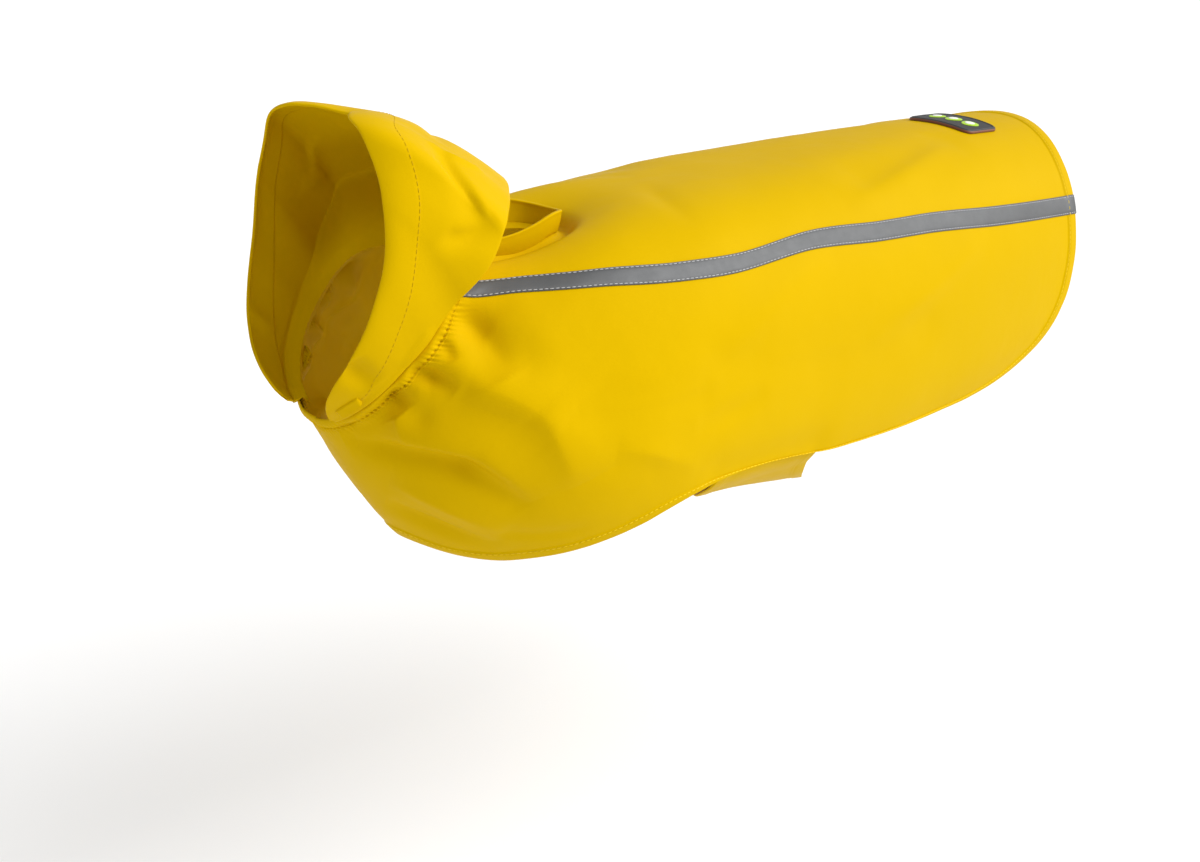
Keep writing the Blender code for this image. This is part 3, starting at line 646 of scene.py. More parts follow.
def rain_cloth():
    """Smooth coated cloth with a very fine grain and a faint crumple."""
    finish = Finish("yellow_rain_cloth", IOR=1.42, Specular_IOR_Level=0.025, Specular_Tint=RAIN_SHEEN)
    finish.coloured(finish.swells(7.0, 3.0), RAIN_YELLOW, RAIN_YELLOW_DEEP)
    finish.rough(0.41 + 0.10 * finish.swells(38.0))
    finish.relief(finish.swells(70.0, 3.0) * 0.7 + finish.swells(900.0) * 0.12, 0.00035)
    return finish.material


YELLOW_CLOTH = rain_cloth()


def kept_on(piece, slot, *nodes):
    """The piece rides on the coat and stands for these solids, which are hidden. The slot is not used."""
    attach(piece, "root")
    if nodes:
        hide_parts(*nodes)


def collar_path(offset, steps=33):
    """The welt's table read round the slot, moved away from the slot by `offset`."""
    middle = len(COLLAR) - 2
    step = np.linspace(-middle, middle, steps)
    along, distance, height, lean = np.moveaxis(smooth_table(COLLAR, middle - np.abs(step)), -1, 0)
    distance = distance * np.sign(step)
    heading = unit(np.stack([np.gradient(along), np.gradient(distance)], axis=-1))
    along = along + heading[:, 1] * offset
    distance = distance - heading[:, 0] * offset
    return along, sideways(along, 0 * along, distance), height, lean


def slot_cutter():
    """A prism through the cloth, in the outline of the leash slot."""
    along, around, _, _ = collar_path(-SLOT_INSET)
    inside = along > SLOT_FRONT
    along = np.concatenate([[SLOT_FRONT], along[inside], [SLOT_FRONT]])
    around = np.concatenate([around[inside][:1], around[inside], around[inside][-1:]])
    middle = cloth(along, around)
    count = len(middle)
    work = bmesh.new()
    lower, upper = [[work.verts.new(point + np.array([0, 0, reach])) for point in middle]
                    for reach in (-SLOT_CUT_REACH, SLOT_CUT_REACH)]
    for c in range(count):
        d = (c + 1) % count
        work.faces.new((lower[c], lower[d], upper[d], upper[c]))
    work.faces.new(lower)
    work.faces.new(upper)
    bmesh.ops.recalc_face_normals(work, faces=work.faces)
    mesh = bpy.data.meshes.new("slot_cutter")
    work.to_mesh(mesh)
    work.free()
    return placed("slot_cutter", mesh)


def settled(piece):
    """The piece with its modifiers worked into a plain mesh."""
    view = piece.evaluated_get(bpy.context.evaluated_depsgraph_get())
    mesh = bpy.data.meshes.new_from_object(view)
    piece.modifiers.clear()
    piece.data = mesh
    return piece


def back_paths():
    shares = np.linspace(0, 1, BACK_RIBS + 1)[:-2]
    half = [back_rib(share) for share in shares]
    half += [shifted_seam(-0.003), shifted_seam(-0.0012), shifted_seam(-SEAM_GAP / 2)]
    return [(path, -1) for path in half[:0:-1]] + [(path, 1) for path in half]


back = cloth_shell("back_cloth", YELLOW_CLOTH, *panel_sheets(back_paths()))
cutter = slot_cutter()
cut = back.modifiers.new("leash_slot", "BOOLEAN")
cut.operation = "DIFFERENCE"
cut.solver = "EXACT"
cut.object = cutter
settled(back)
bpy.data.objects.remove(cutter, do_unlink=True)
kept_on(back, "rain_cloth", "back_panel")


# ----------------------------------------------------------
# The side panels
# Two mirror-cut panels of the same cloth, from the tape round shoulder, chest and flank. They meet at
# the middle of the chest, and the turned hem runs on from the back panel's.
CHEST_RIBS = (0.0016, 0.0009, 0.0004, 0.0)   # distances of the last ribs from the middle of the chest


def side_paths(side):
    paths = [(shifted_seam(distance), side) for distance in (SEAM_GAP / 2, 0.0012, 0.003)]
    paths += [(side_rib(share), side) for share in np.linspace(0, 1, SIDE_RIBS + 1)[:-1]]
    along, around = side_rib(1.0)
    paths += [((along, sideways(along, around, -distance)), side) for distance in CHEST_RIBS]
    return paths


for name, side in (("left", 1), ("right", -1)):
    panel = cloth_shell("side_cloth_" + name, YELLOW_CLOTH, *panel_sheets(side_paths(side)))
    kept_on(panel, "rain_cloth", "side_panel_" + name)


# ----------------------------------------------------------
# The neck casing
# A folded strip of the cloth sewn round the neckline under the hood. Elastic runs inside it, and draws
# it and the panels below into small uneven gathers along one stitch line.
CASING_COLUMNS = 1100
CASING_ROWS = (0, 0.3, 0.7, 1.2, 1.8, 2.4, 3, 3.5, 3.9, 4.25, 4.55, 4.8, 5.05, 5.3, 5.55, 5.8, 6.05, 6.2)
CASING_OUTSIDE = 0.0021
CASING_PUFF = 0.0009
CASING_GROOVE = 0.0004     # the gathered line lies this deep in it
CASING_WALL = 0.0006

around = np.linspace(-180, 180, CASING_COLUMNS, endpoint=False)
distances = np.array(CASING_ROWS)[:, None] / 1000 + 0 * around
along = neckline(around) + distances
across = np.linalg.norm(slopes_of(form, along, around + 0 * along, COAT_REACH)[0], axis=-1)
along = neckline(around) + distances / across
puff = CASING_PUFF * np.sin(math.pi * np.clip(distances / GATHER_LINE, 0, 1))**0.7
puff = puff - CASING_GROOVE * np.exp(-((distances - GATHER_LINE) / 0.0006)**2)
into = np.clip(1 - (CASING_EDGE - distances) / 0.0007, 0, 1)
wall = CASING_WALL * np.sqrt(np.clip(1.02 - into**2, 0, 1))
middle = CASING_OUTSIDE + puff - CASING_WALL / 2
outer, inner = faces_of(along, around, middle + wall / 2, middle - wall / 2, distances)
places = np.stack([NECK_RADIUS * np.radians(around) + 0 * along, distances], axis=-1)
casing = cloth_shell("casing_cloth", YELLOW_CLOTH, outer, inner, places, closed=True)
kept_on(casing, "rain_cloth", "neck_casing")


# ----------------------------------------------------------
# The hood
# Pushed back round the neck: it rises off the neck seam, turns back over the casing in one soft fold
# and stands up again to the face opening, which has a wide turned casing with one stitch line.
NECK_PLANE = 0.024
HOOD_FOOT = 0.0025         # the foot of the hood lies over the casing
FOOT_UNDER = 0.0022        # its seam allowance turns in round the neckline and lies under the casing
FOOT_TUCK = ((0.0030, 1.0), (-0.0002, 1.0), (-0.0009, 0.0))
HOOD_WALL = 0.0018
HOOD_FOLD = 0.30           # share of the profile from the seam to the fold
HOOD_END = 161.0
HOOD_FOOT_RISE = 0.002
HOOD_FOLD_EASE = 0.40
HOOD_CROWN_EASE = 0.02
HOOD_RIM_EASE = 0.14
HOOD_COLUMNS = 230
HOOD_ROWS = 64
HOOD_STITCH = 0.0190       # from the rim to the casing's stitch line
HOOD_GROOVE = 0.0001
HOOD_TURNED = 0.0002       # how much the turned casing stands out
HOOD_MIDDLE = 0.0010       # lift of the middle of the cloth at the rim
HOOD_CRUMPLE = 0.00030
RIM_ZONE = 0.0236          # from the rim, where the rows of the rim take over
# Distances from the rim at which the hood has a row of points, in millimetres.
RIM_ROWS = (22, 20.9, 20.2, 19.7, 19.35, 19, 18.65, 18.3, 17.8, 16.6, 14.6, 12, 10, 8, 6, 4.5, 3.2,
            2.2, 1.4, 0.85, 0.5, 0.25, 0.1, 0)
SHORT_HOOD = 0.028         # where the hood is shorter than this, its casing narrows with it

HOOD = in_metres((
    # around, fold_out, fold_up, rim_out, rim_up, crown_out
    (-30, 33, 16, -6, 85, 22),
    (0, 35, 13, -6, 82, 22.5),
    (30, 33, 17.5, -6, 85, 22),
    (48, 34.5, 19, -4, 84, 26),
    (62, 35.3, 17, 2, 78, 25),
    (76, 28, 10, 4.8, 67, 18),
    (90, 12.5, 7, 6.5, 56, 11),
    (105, 7.2, 7, 6.8, 43, 6),
    (120, 6, 6, 8, 34, 4),
    (135, 6, 6, 9, 27, 2),
    (148, 5.6, 5, 9, 20.5, 1),
    (155, 5.5, 4, 8.5, 14.5, 0),
    (159.5, 5, 3, 7.5, 7.5, 0),
    (161.5, 4.5, 1.5, 6, 3, 0),
), 1, 2, 3, 4, 5)

# Creases of the hood, by share of its profile and place round the neck.
HOOD_CREASES = in_metres((
    # profile, around, over_profile, over_around, to_profile, to_around, upper_width, lower_width, height
    (0.8, 24, 0.7, 44, 0.6, 60, 12, 12, -1.3),  # slack behind the crown on the left
    (0.72, -26, 0.7, 4, 0.69, 30, 6, 7, -1.8),  # dent over the top
    (0.7, 40, 0.6, 60, 0.5, 70, 2.6, 7, -3.4),
    (0.66, 80, 0.55, 76, 0.43, 62, 3.4, 5, -2.6),
    (0.74, 41, 0.63, 42.5, 0.52, 36, 2.6, 1.4, 1.3),
    (0.99, 134.5, 0.74, 134, 0.46, 133, 5.2, 5, -3.6),
    (0.34, 101, 0.32, 109, 0.3, 119, 5, 2, 0.8),
    (0.8, -10, 0.68, -34, 0.58, -55, 15, 14, -1.6),  # and on the right
    (0.66, -52, 0.61, -63, 0.54, -70, 6, 2.4, -1.6),
    (0.62, -78, 0.54, -72, 0.45, -62, 4.5, 3.2, -1.2),
    (0.95, -131, 0.74, -129, 0.5, -128, 4.2, 4.2, -1.3),
), 6, 7, 8)


def bezier(points, t):
    a, b, c, d = points
    t = t[..., None]
    return a * (1 - t)**3 + 3 * b * t * (1 - t)**2 + 3 * c * t**2 * (1 - t) + d * t**3


def hood_frame(around):
    """Points of the hood seam, with the directions out from the neck and up along it."""
    upright = form(NECK_PLANE, 0) - form(NECK_PLANE, 180)
    up = unit(np.array([-upright[2], 0, upright[0]]))
    ahead = around + 0.2
    behind = around - 0.2
    tangent = form(neckline(ahead), ahead) - form(neckline(behind), behind)
    return form(neckline(around), around), unit(np.cross(up, tangent)), up


def hood(profile, around):
    """Hollow side of the hood. `profile` runs from 0 at the seam to 1 at the rim."""
    profile, around = np.broadcast_arrays(np.asarray(profile, float), np.asarray(around, float))
    table = smooth_table(HOOD, np.abs(around))
    fold_out, fold_up, rim_out, rim_up, crown_out = np.moveaxis(table, -1, 0)[..., None]
    seam, out, up = hood_frame(around)
    lift = form_normal(neckline(around), around)
    foot = seam + lift * HOOD_FOOT
    fold = seam + out * fold_out + up * fold_up
    rim = seam + out * rim_out + up * rim_up
    eased = fold_up * HOOD_FOLD_EASE
    under = (foot, foot + lift * (HOOD_FOOT_RISE + eased), fold - up * eased, fold)
    rise = up * (rim_up - fold_up)
    over = (fold, fold + rise * HOOD_CROWN_EASE, rim - rise * HOOD_RIM_EASE + out * crown_out, rim)
    lower = bezier(under, np.clip(profile / HOOD_FOLD, 0, 1))
    upper = bezier(over, np.clip((profile - HOOD_FOLD) / (1 - HOOD_FOLD), 0, 1))
    return np.where((profile < HOOD_FOLD)[..., None], lower, upper)


def hood_normal(profile, around):
    """Direction out of the pushed back hood."""
    first, second = slopes_of(hood, profile, around, (0.0, 1.0))
    return unit(np.cross(first, second))


def hood_cloth(profile, around, lift):
    """Points of the hood, `lift` outside the side of its cloth that lies towards the neck."""
    profile, around = np.broadcast_arrays(np.asarray(profile, float), np.asarray(around, float))
    return hood(profile, around) + hood_normal(profile, around) * (np.asarray(lift) - HOOD_WALL)[..., None]


def rim_profile(edge):
    """Outer and inner lift of the hood's cloth at these distances from its rim."""
    turned = np.clip((HOOD_STITCH + 0.0012 - edge) / 0.0014, 0, 1)
    outer = CLOTH_OUTSIDE + HOOD_TURNED * eased(turned)
    outer = outer - HOOD_GROOVE * np.exp(-((edge - HOOD_STITCH) / GROOVE_WIDTH)**2)
    inner = 0.0006 - 2 * HOOD_TURNED * turned
    fullness = rounded(edge, EDGE_ROUND)
    return HOOD_MIDDLE + (outer - HOOD_MIDDLE) * fullness, HOOD_MIDDLE + (inner - HOOD_MIDDLE) * fullness


def hood_rows(around):
    """Profile values of the hood's rows at each place round the neck, and their distances from the rim."""
    fine = np.linspace(0, 1, 240)
    curves = hood(fine[:, None], around)
    steps = np.linalg.norm(np.diff(curves, axis=0), axis=-1)
    lengths = np.concatenate([0 * steps[:1], np.cumsum(steps, axis=0)])
    profiles = []
    edges = []
    for length in lengths.T:
        rim_share = min(1.0, length[-1] / SHORT_HOOD)
        body = np.linspace(0, length[-1] - RIM_ZONE * rim_share, HOOD_ROWS)
        distances = np.concatenate([body, length[-1] - np.array(RIM_ROWS) / 1000 * rim_share])
        profiles.append(np.interp(distances, length, fine))
        edges.append(length[-1] - distances)
    return np.array(profiles).T, np.array(edges).T


def hood_face(profile, around, lift):
    """Points of the creased hood."""
    smooth = hood(profile, around)
    rise = crease_height(smooth, HOOD_CREASES, hood) + HOOD_CRUMPLE * crumple(smooth, 0.024, 7.7)
    rise = rise * np.clip(profile / 0.08, 0, 1)
    return hood_cloth(profile, around, rise + lift)


around = np.linspace(-HOOD_END, HOOD_END, HOOD_COLUMNS)
profile, edge = hood_rows(around)
around = around + 0 * profile
above, below = rim_profile(edge)
sheets = []
for lift in (above, below):
    sheet = hood_face(profile, around, lift)
    seam_along = neckline(around[0])
    outwards = form_normal(seam_along, around[0])
    inner_lift = lift[0] - FOOT_UNDER
    tucked = [form(seam_along + depth, around[0]) + outwards * (inner_lift * share)[:, None]
              for depth, share in FOOT_TUCK]
    sheets.append(np.concatenate([tucked, sheet]))
around = np.concatenate([around[:len(FOOT_TUCK)], around])
edge = np.concatenate([edge[:1] + np.array([[0.004], [0.003], [0.001]]), edge])
places = np.stack([around / 1000, edge], axis=-1)
hood_piece = cloth_shell("hood_cloth", YELLOW_CLOTH, *sheets, places)
kept_on(hood_piece, "rain_cloth", "hood")


# ----------------------------------------------------------
# The folded ends of the hood's casing
# At each corner of the throat the end of the casing is folded flat and tacked down.
TAB_AROUND = (141.0, 154.0)   # degrees
TAB_PROFILE = (0.33, 0.52)
TAB_SLANT = 0.10 / 13         # profile for each degree
TAB_FOOT = 0.0012
TAB_EDGE = 0.0003
TAB_HEIGHT = 0.0017
TAB_CRUMPLE = 0.0002

for name, side in (("left", 1), ("right", -1)):
    profile, around = np.meshgrid(np.linspace(*TAB_PROFILE, 17), np.linspace(*TAB_AROUND, 41), indexing="ij")
    across = (profile - sum(TAB_PROFILE) / 2) / (TAB_PROFILE[1] - TAB_PROFILE[0]) * 2
    lengthwise = (around - sum(TAB_AROUND) / 2) / (TAB_AROUND[1] - TAB_AROUND[0]) * 2
    fullness = np.sqrt(np.clip(1.0 - across**10, 0, 1) * np.clip(1.0 - lengthwise**12, 0, 1))
    low = TAB_FOOT + 0 * profile
    high = low + TAB_EDGE + TAB_HEIGHT * fullness * (1 - 0.45 * across)
    high = high + TAB_CRUMPLE * crumple(hood(profile, around), 0.003, 6.6)
    profile = profile + TAB_SLANT * (around - TAB_AROUND[0])
    around = side * around
    places = np.stack([around / 1000, profile / 20], axis=-1)
    outer, inner = [hood_face(profile, around, lift) for lift in (high, low)]
    tab = cloth_shell("hood_tab_cloth_" + name, YELLOW_CLOTH, outer, inner, places)
    kept_on(tab, "rain_cloth", "hood_tab_" + name)


# ----------------------------------------------------------
# The reflective tapes
# A grey woven tape with a skin of fine glass beads, sewn over each side seam with two rows of pale
# thread and turned in with the hem at its rear end.
HALF_TAPE = (5.6, 5.3, 4.95, 4.65, 4.35, 3.9, 2.7, 1.3)    # its columns of points, in millimetres
TAPE_STITCH = 0.00465      # from the tape's middle to each row of stitches
TAPE_ROWS = 240
TAPE_START = 0.0054        # it begins under the casing
TAPE_OVER = 0.00025
TAPE_THICKNESS = 0.00040
TAPE_GROOVE = 0.00016


def reflective_tape():
    """Grey beaded skin, a little mottled, that brightens where light falls straight on it."""
    finish = Finish("reflective_tape", Metallic=0.25, IOR=1.45)
    finish.coloured(finish.swells(90.0, 4.0), (0.062, 0.064, 0.066), (0.092, 0.094, 0.096))
    finish.rough(0.40 + 0.16 * finish.swells(300.0))
    finish.relief(finish.swells(2400.0, 1.0), 0.00006)
    return finish.material


def tape_place(offset, distances, side):
    path = shifted_seam(offset)
    along, around, length = walk(path, distances)
    return along, side * around, hem_profile(length - distances)[0]


GREY_TAPE = reflective_tape()
for name, side in (("left", 1), ("right", -1)):
    offset = np.array([*(-place for place in HALF_TAPE), 0, *HALF_TAPE[::-1]]) / 1000
    walked = []
    for column in offset:
        distances = np.linspace(TAPE_START, seam_length(column) - 0.0002, TAPE_ROWS)
        walked.append((*tape_place(column, distances, side), distances))
    along, around, under, distances = np.array(walked).transpose(1, 2, 0)
    low = under + TAPE_OVER
    high = low + TAPE_THICKNESS * np.clip(0.35 + (TAPE_WIDTH / 2 - np.abs(offset)) / 0.0004, 0, 1)
    high = high - TAPE_GROOVE * np.exp(-((np.abs(offset) - TAPE_STITCH) / 0.0005)**2)
    places = np.stack([offset + 0 * distances, distances], axis=-1)
    tape = cloth_shell("tape_" + name, GREY_TAPE, *faces_of(along, around, high, low, distances), places)
    kept_on(tape, "reflective_tape", "reflective_tape_" + name)


# ----------------------------------------------------------
# The leash slot's welt
# A folded strip of the cloth that stands up round the rear of the slot, open towards the hood, with a
# soft turned rim. The leash passes through it to the harness below.
WELT_WALL = 0.0016
WELT_SLANT = -0.0028       # the foot stands this far inside the rim
WELT_STEPS = 97
WELT_RISES = (-0.10, 0, 0.08, 0.18, 0.3, 0.42, 0.54, 0.66, 0.76, 0.84, 0.90, 0.94, 0.97, 0.99, 1.0)

along, around, height, lean = collar_path(0.0, WELT_STEPS)
over_casing = np.clip((SLOT_FRONT - along) / (SLOT_FRONT - CASING_EDGE), 0, 1)
foot_lift = CLOTH_OUTSIDE + 0.0002 + 0.0008 * over_casing
foot_z = cloth(along, around, foot_lift)[:, 2]
sheets = []
for side in (1, -1):
    rows = []
    for rise in WELT_RISES:
        near_rim = np.clip((rise - 0.84) / 0.16, 0, 1)
        half_wall = WELT_WALL / 2 * (1 + 0.6 * near_rim) * math.sqrt(max(0.0, 1.02 - near_rim**6))
        spread = WELT_SLANT * (1 - max(rise, 0))**1.6
        points = cloth(*collar_path(side * half_wall + spread, WELT_STEPS)[:2], foot_lift)
        points[:, 0] -= lean * max(rise, 0)
        points[:, 2] = foot_z + height * rise + np.where(rise < 0.05, points[:, 2] - foot_z, 0)
        rows.append(points)
    sheets.append(np.array(rows))
run = np.linspace(0, 0.12, WELT_STEPS)
places = np.stack(np.broadcast_arrays(run, np.array(WELT_RISES)[:, None] * 0.012), axis=-1)
welt = cloth_shell("slot_welt", YELLOW_CLOTH, *sheets, places)
kept_on(welt, "rain_cloth", "leash_collar")


# ----------------------------------------------------------
# The rubber patch
# A moulded black rubber patch across the spine near the rear hem, with a raised edge, a thin brown
# edging and a plain row of three lime drops with pale middles.
PATCH_LENGTH = 0.044
PATCH_WIDTH = 0.033
PATCH_ALONG = 0.370
PATCH_TO_LEFT = 0.008
PATCH_CORNER = 0.006
PATCH_THICKNESS = 0.0014
PATCH_RIM = 0.0016
PATCH_RIM_HEIGHT = 0.00045
DROP_SPACING = 0.0115
DROP_LENGTH = 1.25         # share of its width
DROP_POINT = 0.28          # how much narrower it is towards its point
PATCH_COLUMNS = 90
PATCH_ROWS = 60


def patch_point(across, down, lift):
    """Points over the back cloth, by distance across the spine to the left and distance to the rear."""
    along = PATCH_ALONG + np.asarray(down, float)
    around = sideways(along, 0 * along, PATCH_TO_LEFT + np.asarray(across, float) + 0 * along)
    return cloth(along, around, CLOTH_OUTSIDE + 0.0003 + lift)


def patch_rubber():
    finish = Finish("black_rubber", IOR=1.5, Specular_IOR_Level=0.45)
    border = finish.node("ShaderNodeSeparateXYZ", {}, {0: finish.place("UV")}, "X")
    edging = finish.node("ShaderNodeMath", {"operation": "LESS_THAN"}, {0: border, 1: 0.00045})
    black = finish.blend(finish.swells(220.0, 3.0), (0.012, 0.012, 0.013), (0.022, 0.022, 0.023))
    finish.coloured(edging, black, (0.16, 0.045, 0.012))
    finish.rough(0.46 + 0.12 * finish.swells(500.0))
    finish.relief(finish.swells(1600.0, 2.0), 0.00005)
    return finish.material


u = np.linspace(-1, 1, PATCH_COLUMNS)
v = np.linspace(-1, 1, PATCH_ROWS)
across, share = np.meshgrid(np.sin(u * math.pi / 2), np.sin(v * math.pi / 2), indexing="ij")
across = PATCH_LENGTH / 2 * across
into_corner = np.clip(np.abs(across) - (PATCH_LENGTH / 2 - PATCH_CORNER), 0, PATCH_CORNER)
reach = PATCH_WIDTH / 2 - PATCH_CORNER + np.sqrt(PATCH_CORNER**2 - into_corner**2)
down = reach * share
corner = np.hypot(np.clip(np.abs(across) - (PATCH_LENGTH / 2 - PATCH_CORNER), 0, None),
                  np.clip(np.abs(down) - (PATCH_WIDTH / 2 - PATCH_CORNER), 0, None))
straight = np.minimum(PATCH_LENGTH / 2 - np.abs(across), PATCH_WIDTH / 2 - np.abs(down))
border = np.where(corner > 0, np.minimum(straight, PATCH_CORNER - corner), straight)
border = np.clip(border, 0, None)
rim = 1 - np.abs(border - PATCH_RIM) / 0.0007
lift = PATCH_THICKNESS * (1 - np.clip(1 - border / 0.0006, 0, 1)**2 * 0.6) + PATCH_RIM_HEIGHT * eased(rim)
places = np.stack([border, down], axis=-1)
outer, inner = [patch_point(across, down, level) for level in (lift, 0 * lift)]
patch = cloth_shell("rubber_patch", patch_rubber(), outer, inner, places)
kept_on(patch, "patch_rubber", "label_patch")


def drop(name, size, low, high, colour, roughness):
    """Three rounded drops in a row across the patch, between two levels over its face, as one piece."""
    finish = Finish(name, Roughness=roughness, IOR=1.48)
    finish.coloured(finish.swells(400.0), colour, tuple(0.9 * part for part in colour))
    finish.relief(finish.swells(1500.0, 2.0), 0.00004)
    work = bmesh.new()
    low, high = PATCH_THICKNESS + low, PATCH_THICKNESS + high
    turn = np.linspace(0, 2 * math.pi, 40, endpoint=False)
    for middle in (-DROP_SPACING, 0.0, DROP_SPACING):
        across = size * np.sin(turn) * (1 - DROP_POINT * np.cos(turn))
        down = -DROP_LENGTH * size * np.cos(turn)
        rings = [(1.0, low), (1.0, high - 0.0001), (0.94, high), (0.5, high + 0.00015)]
        grid = [[work.verts.new(point) for point in
                 patch_point(middle + across * scale, down * scale, np.full(len(turn), level))]
                for scale, level in rings]
        for lower, upper in zip(grid, grid[1:]):
            for c in range(len(turn)):
                d = (c + 1) % len(turn)
                work.faces.new((lower[c], lower[d], upper[d], upper[c]))
        work.faces.new(grid[-1])
        work.faces.new(grid[0])
    bmesh.ops.recalc_face_normals(work, faces=work.faces)
    mesh = bpy.data.meshes.new(name)
    work.to_mesh(mesh)
    work.free()
    mesh.shade_smooth()
    mesh.set_sharp_from_angle(angle=math.radians(40))
    mesh.materials.append(finish.material)
    kept_on(placed(name, mesh), "patch_rubber")


drop("patch_drops", 0.0046, -0.0003, 0.0004, (0.42, 0.68, 0.02), 0.42)
drop("patch_drop_middles", 0.0026, 0.0002, 0.0008, (0.86, 0.88, 0.80), 0.40)


# ----------------------------------------------------------
# The belly flap
# A strap of the same cloth under the belly, sewn inside the right side panel and closed inside the left
# one. Both of its long edges are turned in and stitched.
FLAP_ALONG = (0.184, 0.240)
FLAP_UNDER = (0.250, 0.302)
FLAP_END = 104.0
FLAP_SEWN = 5.0
FLAP_LEAVING = 16.0
FLAP_CLEARANCE = 0.0009
FLAP_LIFT = (0.019, -0.001)
FLAP_LIFTED = (20.0, 72.0)
FLAP_SQUARE = 1.8
FLAP_EDGE = (0, 0.12, 0.3, 0.6, 1, 1.6, 2.6, 3.6, 4.6, 5.2, 5.6, 6, 6.4, 6.8, 7.4, 8.4)
FLAP_STITCH = 0.0060
FLAP_WIDTH = 0.054
FLAP_MIDDLE = -0.0006      # middle of the cloth, and how much the turned edges add on each face
FLAP_TURNED = 0.0004
FLAP_COLUMNS = 170


def flap_place(share, around, lift):
    """Points of the flap, by share of its width from its front edge and place round the belly."""
    share, around = np.broadcast_arrays(np.asarray(share, float), np.asarray(around, float))
    from_end = 180 - FLAP_END - np.abs(around - 180)
    under = (1 - np.cos(math.pi * from_end / (180 - FLAP_END))) / 2
    sewn_along, under_along = [front + (rear - front) * share for front, rear in (FLAP_ALONG, FLAP_UNDER)]
    along = sewn_along + (under_along - sewn_along) * under
    turned = np.where(around > 180, around - 360, around)
    full, ended = FLAP_LIFTED
    lifted = eased((ended - np.abs(around - 180)) / (ended - full))
    pulled = FLAP_LIFT[0] + (FLAP_LIFT[1] - FLAP_LIFT[0]) * share
    free = eased((from_end - FLAP_SEWN) / FLAP_LEAVING)[..., None]
    sewn = cloth(along, turned)
    hung = form(along, turned, FLAP_SQUARE)
    hung = hung + form_normal(along, turned) * 0.0004 * crumple(hung, 0.02, 4.4)[..., None]
    smooth = sewn + (hung - sewn) * free
    outside = lift - FLAP_CLEARANCE - pulled * lifted
    outwards = form_normal(along, turned)
    return smooth + outwards * outside[..., None], outwards


edges = np.array(FLAP_EDGE) / 1000
distances = np.concatenate([edges, np.linspace(0.010, FLAP_WIDTH - 0.010, 18), (FLAP_WIDTH - edges)[::-1]])
around = np.linspace(FLAP_END, 360 - FLAP_END, FLAP_COLUMNS)
share, around = np.meshgrid(distances / FLAP_WIDTH, around, indexing="ij")
edge = np.minimum(share, 1 - share) * FLAP_WIDTH
turned_in = np.clip((0.0072 - edge) / 0.0008, 0, 1)
groove = 0.0003 * np.exp(-((edge - FLAP_STITCH) / 0.0007)**2)
fullness = rounded(edge, 0.0008)
above = FLAP_MIDDLE + (0.0004 + FLAP_TURNED * turned_in - groove) * fullness
below = FLAP_MIDDLE - (0.0003 + FLAP_TURNED * turned_in) * fullness
places = np.stack([around / 1000, share * FLAP_WIDTH], axis=-1)
outer, inner = [flap_place(share, around, lift)[0] for lift in (above, below)]
flap = cloth_shell("flap_cloth", YELLOW_CLOTH, outer, inner, places)
kept_on(flap, "rain_cloth", "belly_flap")


# ----------------------------------------------------------
# The sewing
# Lock stitches of yellow thread along the hems, the hood's casing, the gathered line and the flap, and
# pale thread along the tapes. Each row is a line on the cloth that the stitches follow.
STITCH_PITCH = 0.0027
STITCH_LENGTH = 0.0022
THREAD = 0.00042
FINE_THREAD = 0.00030


def thread_finish(name, colour):
    finish = Finish(name, IOR=1.45, Specular_IOR_Level=0.12, Roughness=0.6)
    finish.coloured(finish.swells(900.0), colour, tuple(0.85 * part for part in colour))
    return finish.material


def stitch_tree():
    """Stitches along a line of points, lying on the cloth whose direction outwards each point keeps."""
    tree = bpy.data.node_groups.new("stitches", "GeometryNodeTree")
    tree.interface.new_socket("Line", in_out="INPUT", socket_type="NodeSocketGeometry")
    for label in ("Pitch", "Length", "Thread"):
        tree.interface.new_socket(label, in_out="INPUT", socket_type="NodeSocketFloat")
    tree.interface.new_socket("Finish", in_out="INPUT", socket_type="NodeSocketMaterial")
    tree.interface.new_socket("Stitches", in_out="OUTPUT", socket_type="NodeSocketGeometry")

    def node(kind, settings=None, **links):
        made = tree.nodes.new(kind)
        for name, value in (settings or {}).items():
            setattr(made, name, value)
        for name, value in links.items():
            socket = made.inputs[name.replace("_", " ")]
            if isinstance(value, bpy.types.NodeSocket):
                tree.links.new(value, socket)
            else:
                socket.default_value = value
        return made

    sizes = tree.nodes.new("NodeGroupInput").outputs
    line = node("GeometryNodeMeshToCurve", Mesh=sizes["Line"])
    even = node("GeometryNodeResampleCurve", {"mode": "LENGTH"}, Curve=line.outputs[0], Length=sizes["Pitch"])
    heading = node("GeometryNodeInputTangent")
    outwards = node("GeometryNodeInputNamedAttribute", {"data_type": "FLOAT_VECTOR"}, Name="outwards")
    laid = node("FunctionNodeAlignRotationToVector", {"axis": "X"}, Vector=heading.outputs[0])
    turned = node("FunctionNodeAlignRotationToVector", {"axis": "Z", "pivot_axis": "X"},
                  Rotation=laid.outputs[0], Vector=outwards.outputs[0])
    bead = node("GeometryNodeMeshUVSphere", Segments=8, Rings=5, Radius=0.5)
    size = node("ShaderNodeCombineXYZ", X=sizes["Length"], Y=sizes["Thread"], Z=sizes["Thread"])
    stitch = node("GeometryNodeTransform", Geometry=bead.outputs[0], Scale=size.outputs[0])
    placed = node("GeometryNodeInstanceOnPoints", Points=even.outputs[0], Instance=stitch.outputs[0],
                  Rotation=turned.outputs[0])
    real = node("GeometryNodeRealizeInstances", Geometry=placed.outputs[0])
    smooth = node("GeometryNodeSetShadeSmooth", Geometry=real.outputs[0])
    finished = node("GeometryNodeSetMaterial", Geometry=smooth.outputs[0], Material=sizes["Finish"])
    tree.links.new(finished.outputs[0], tree.nodes.new("NodeGroupOutput").inputs[0])
    return tree


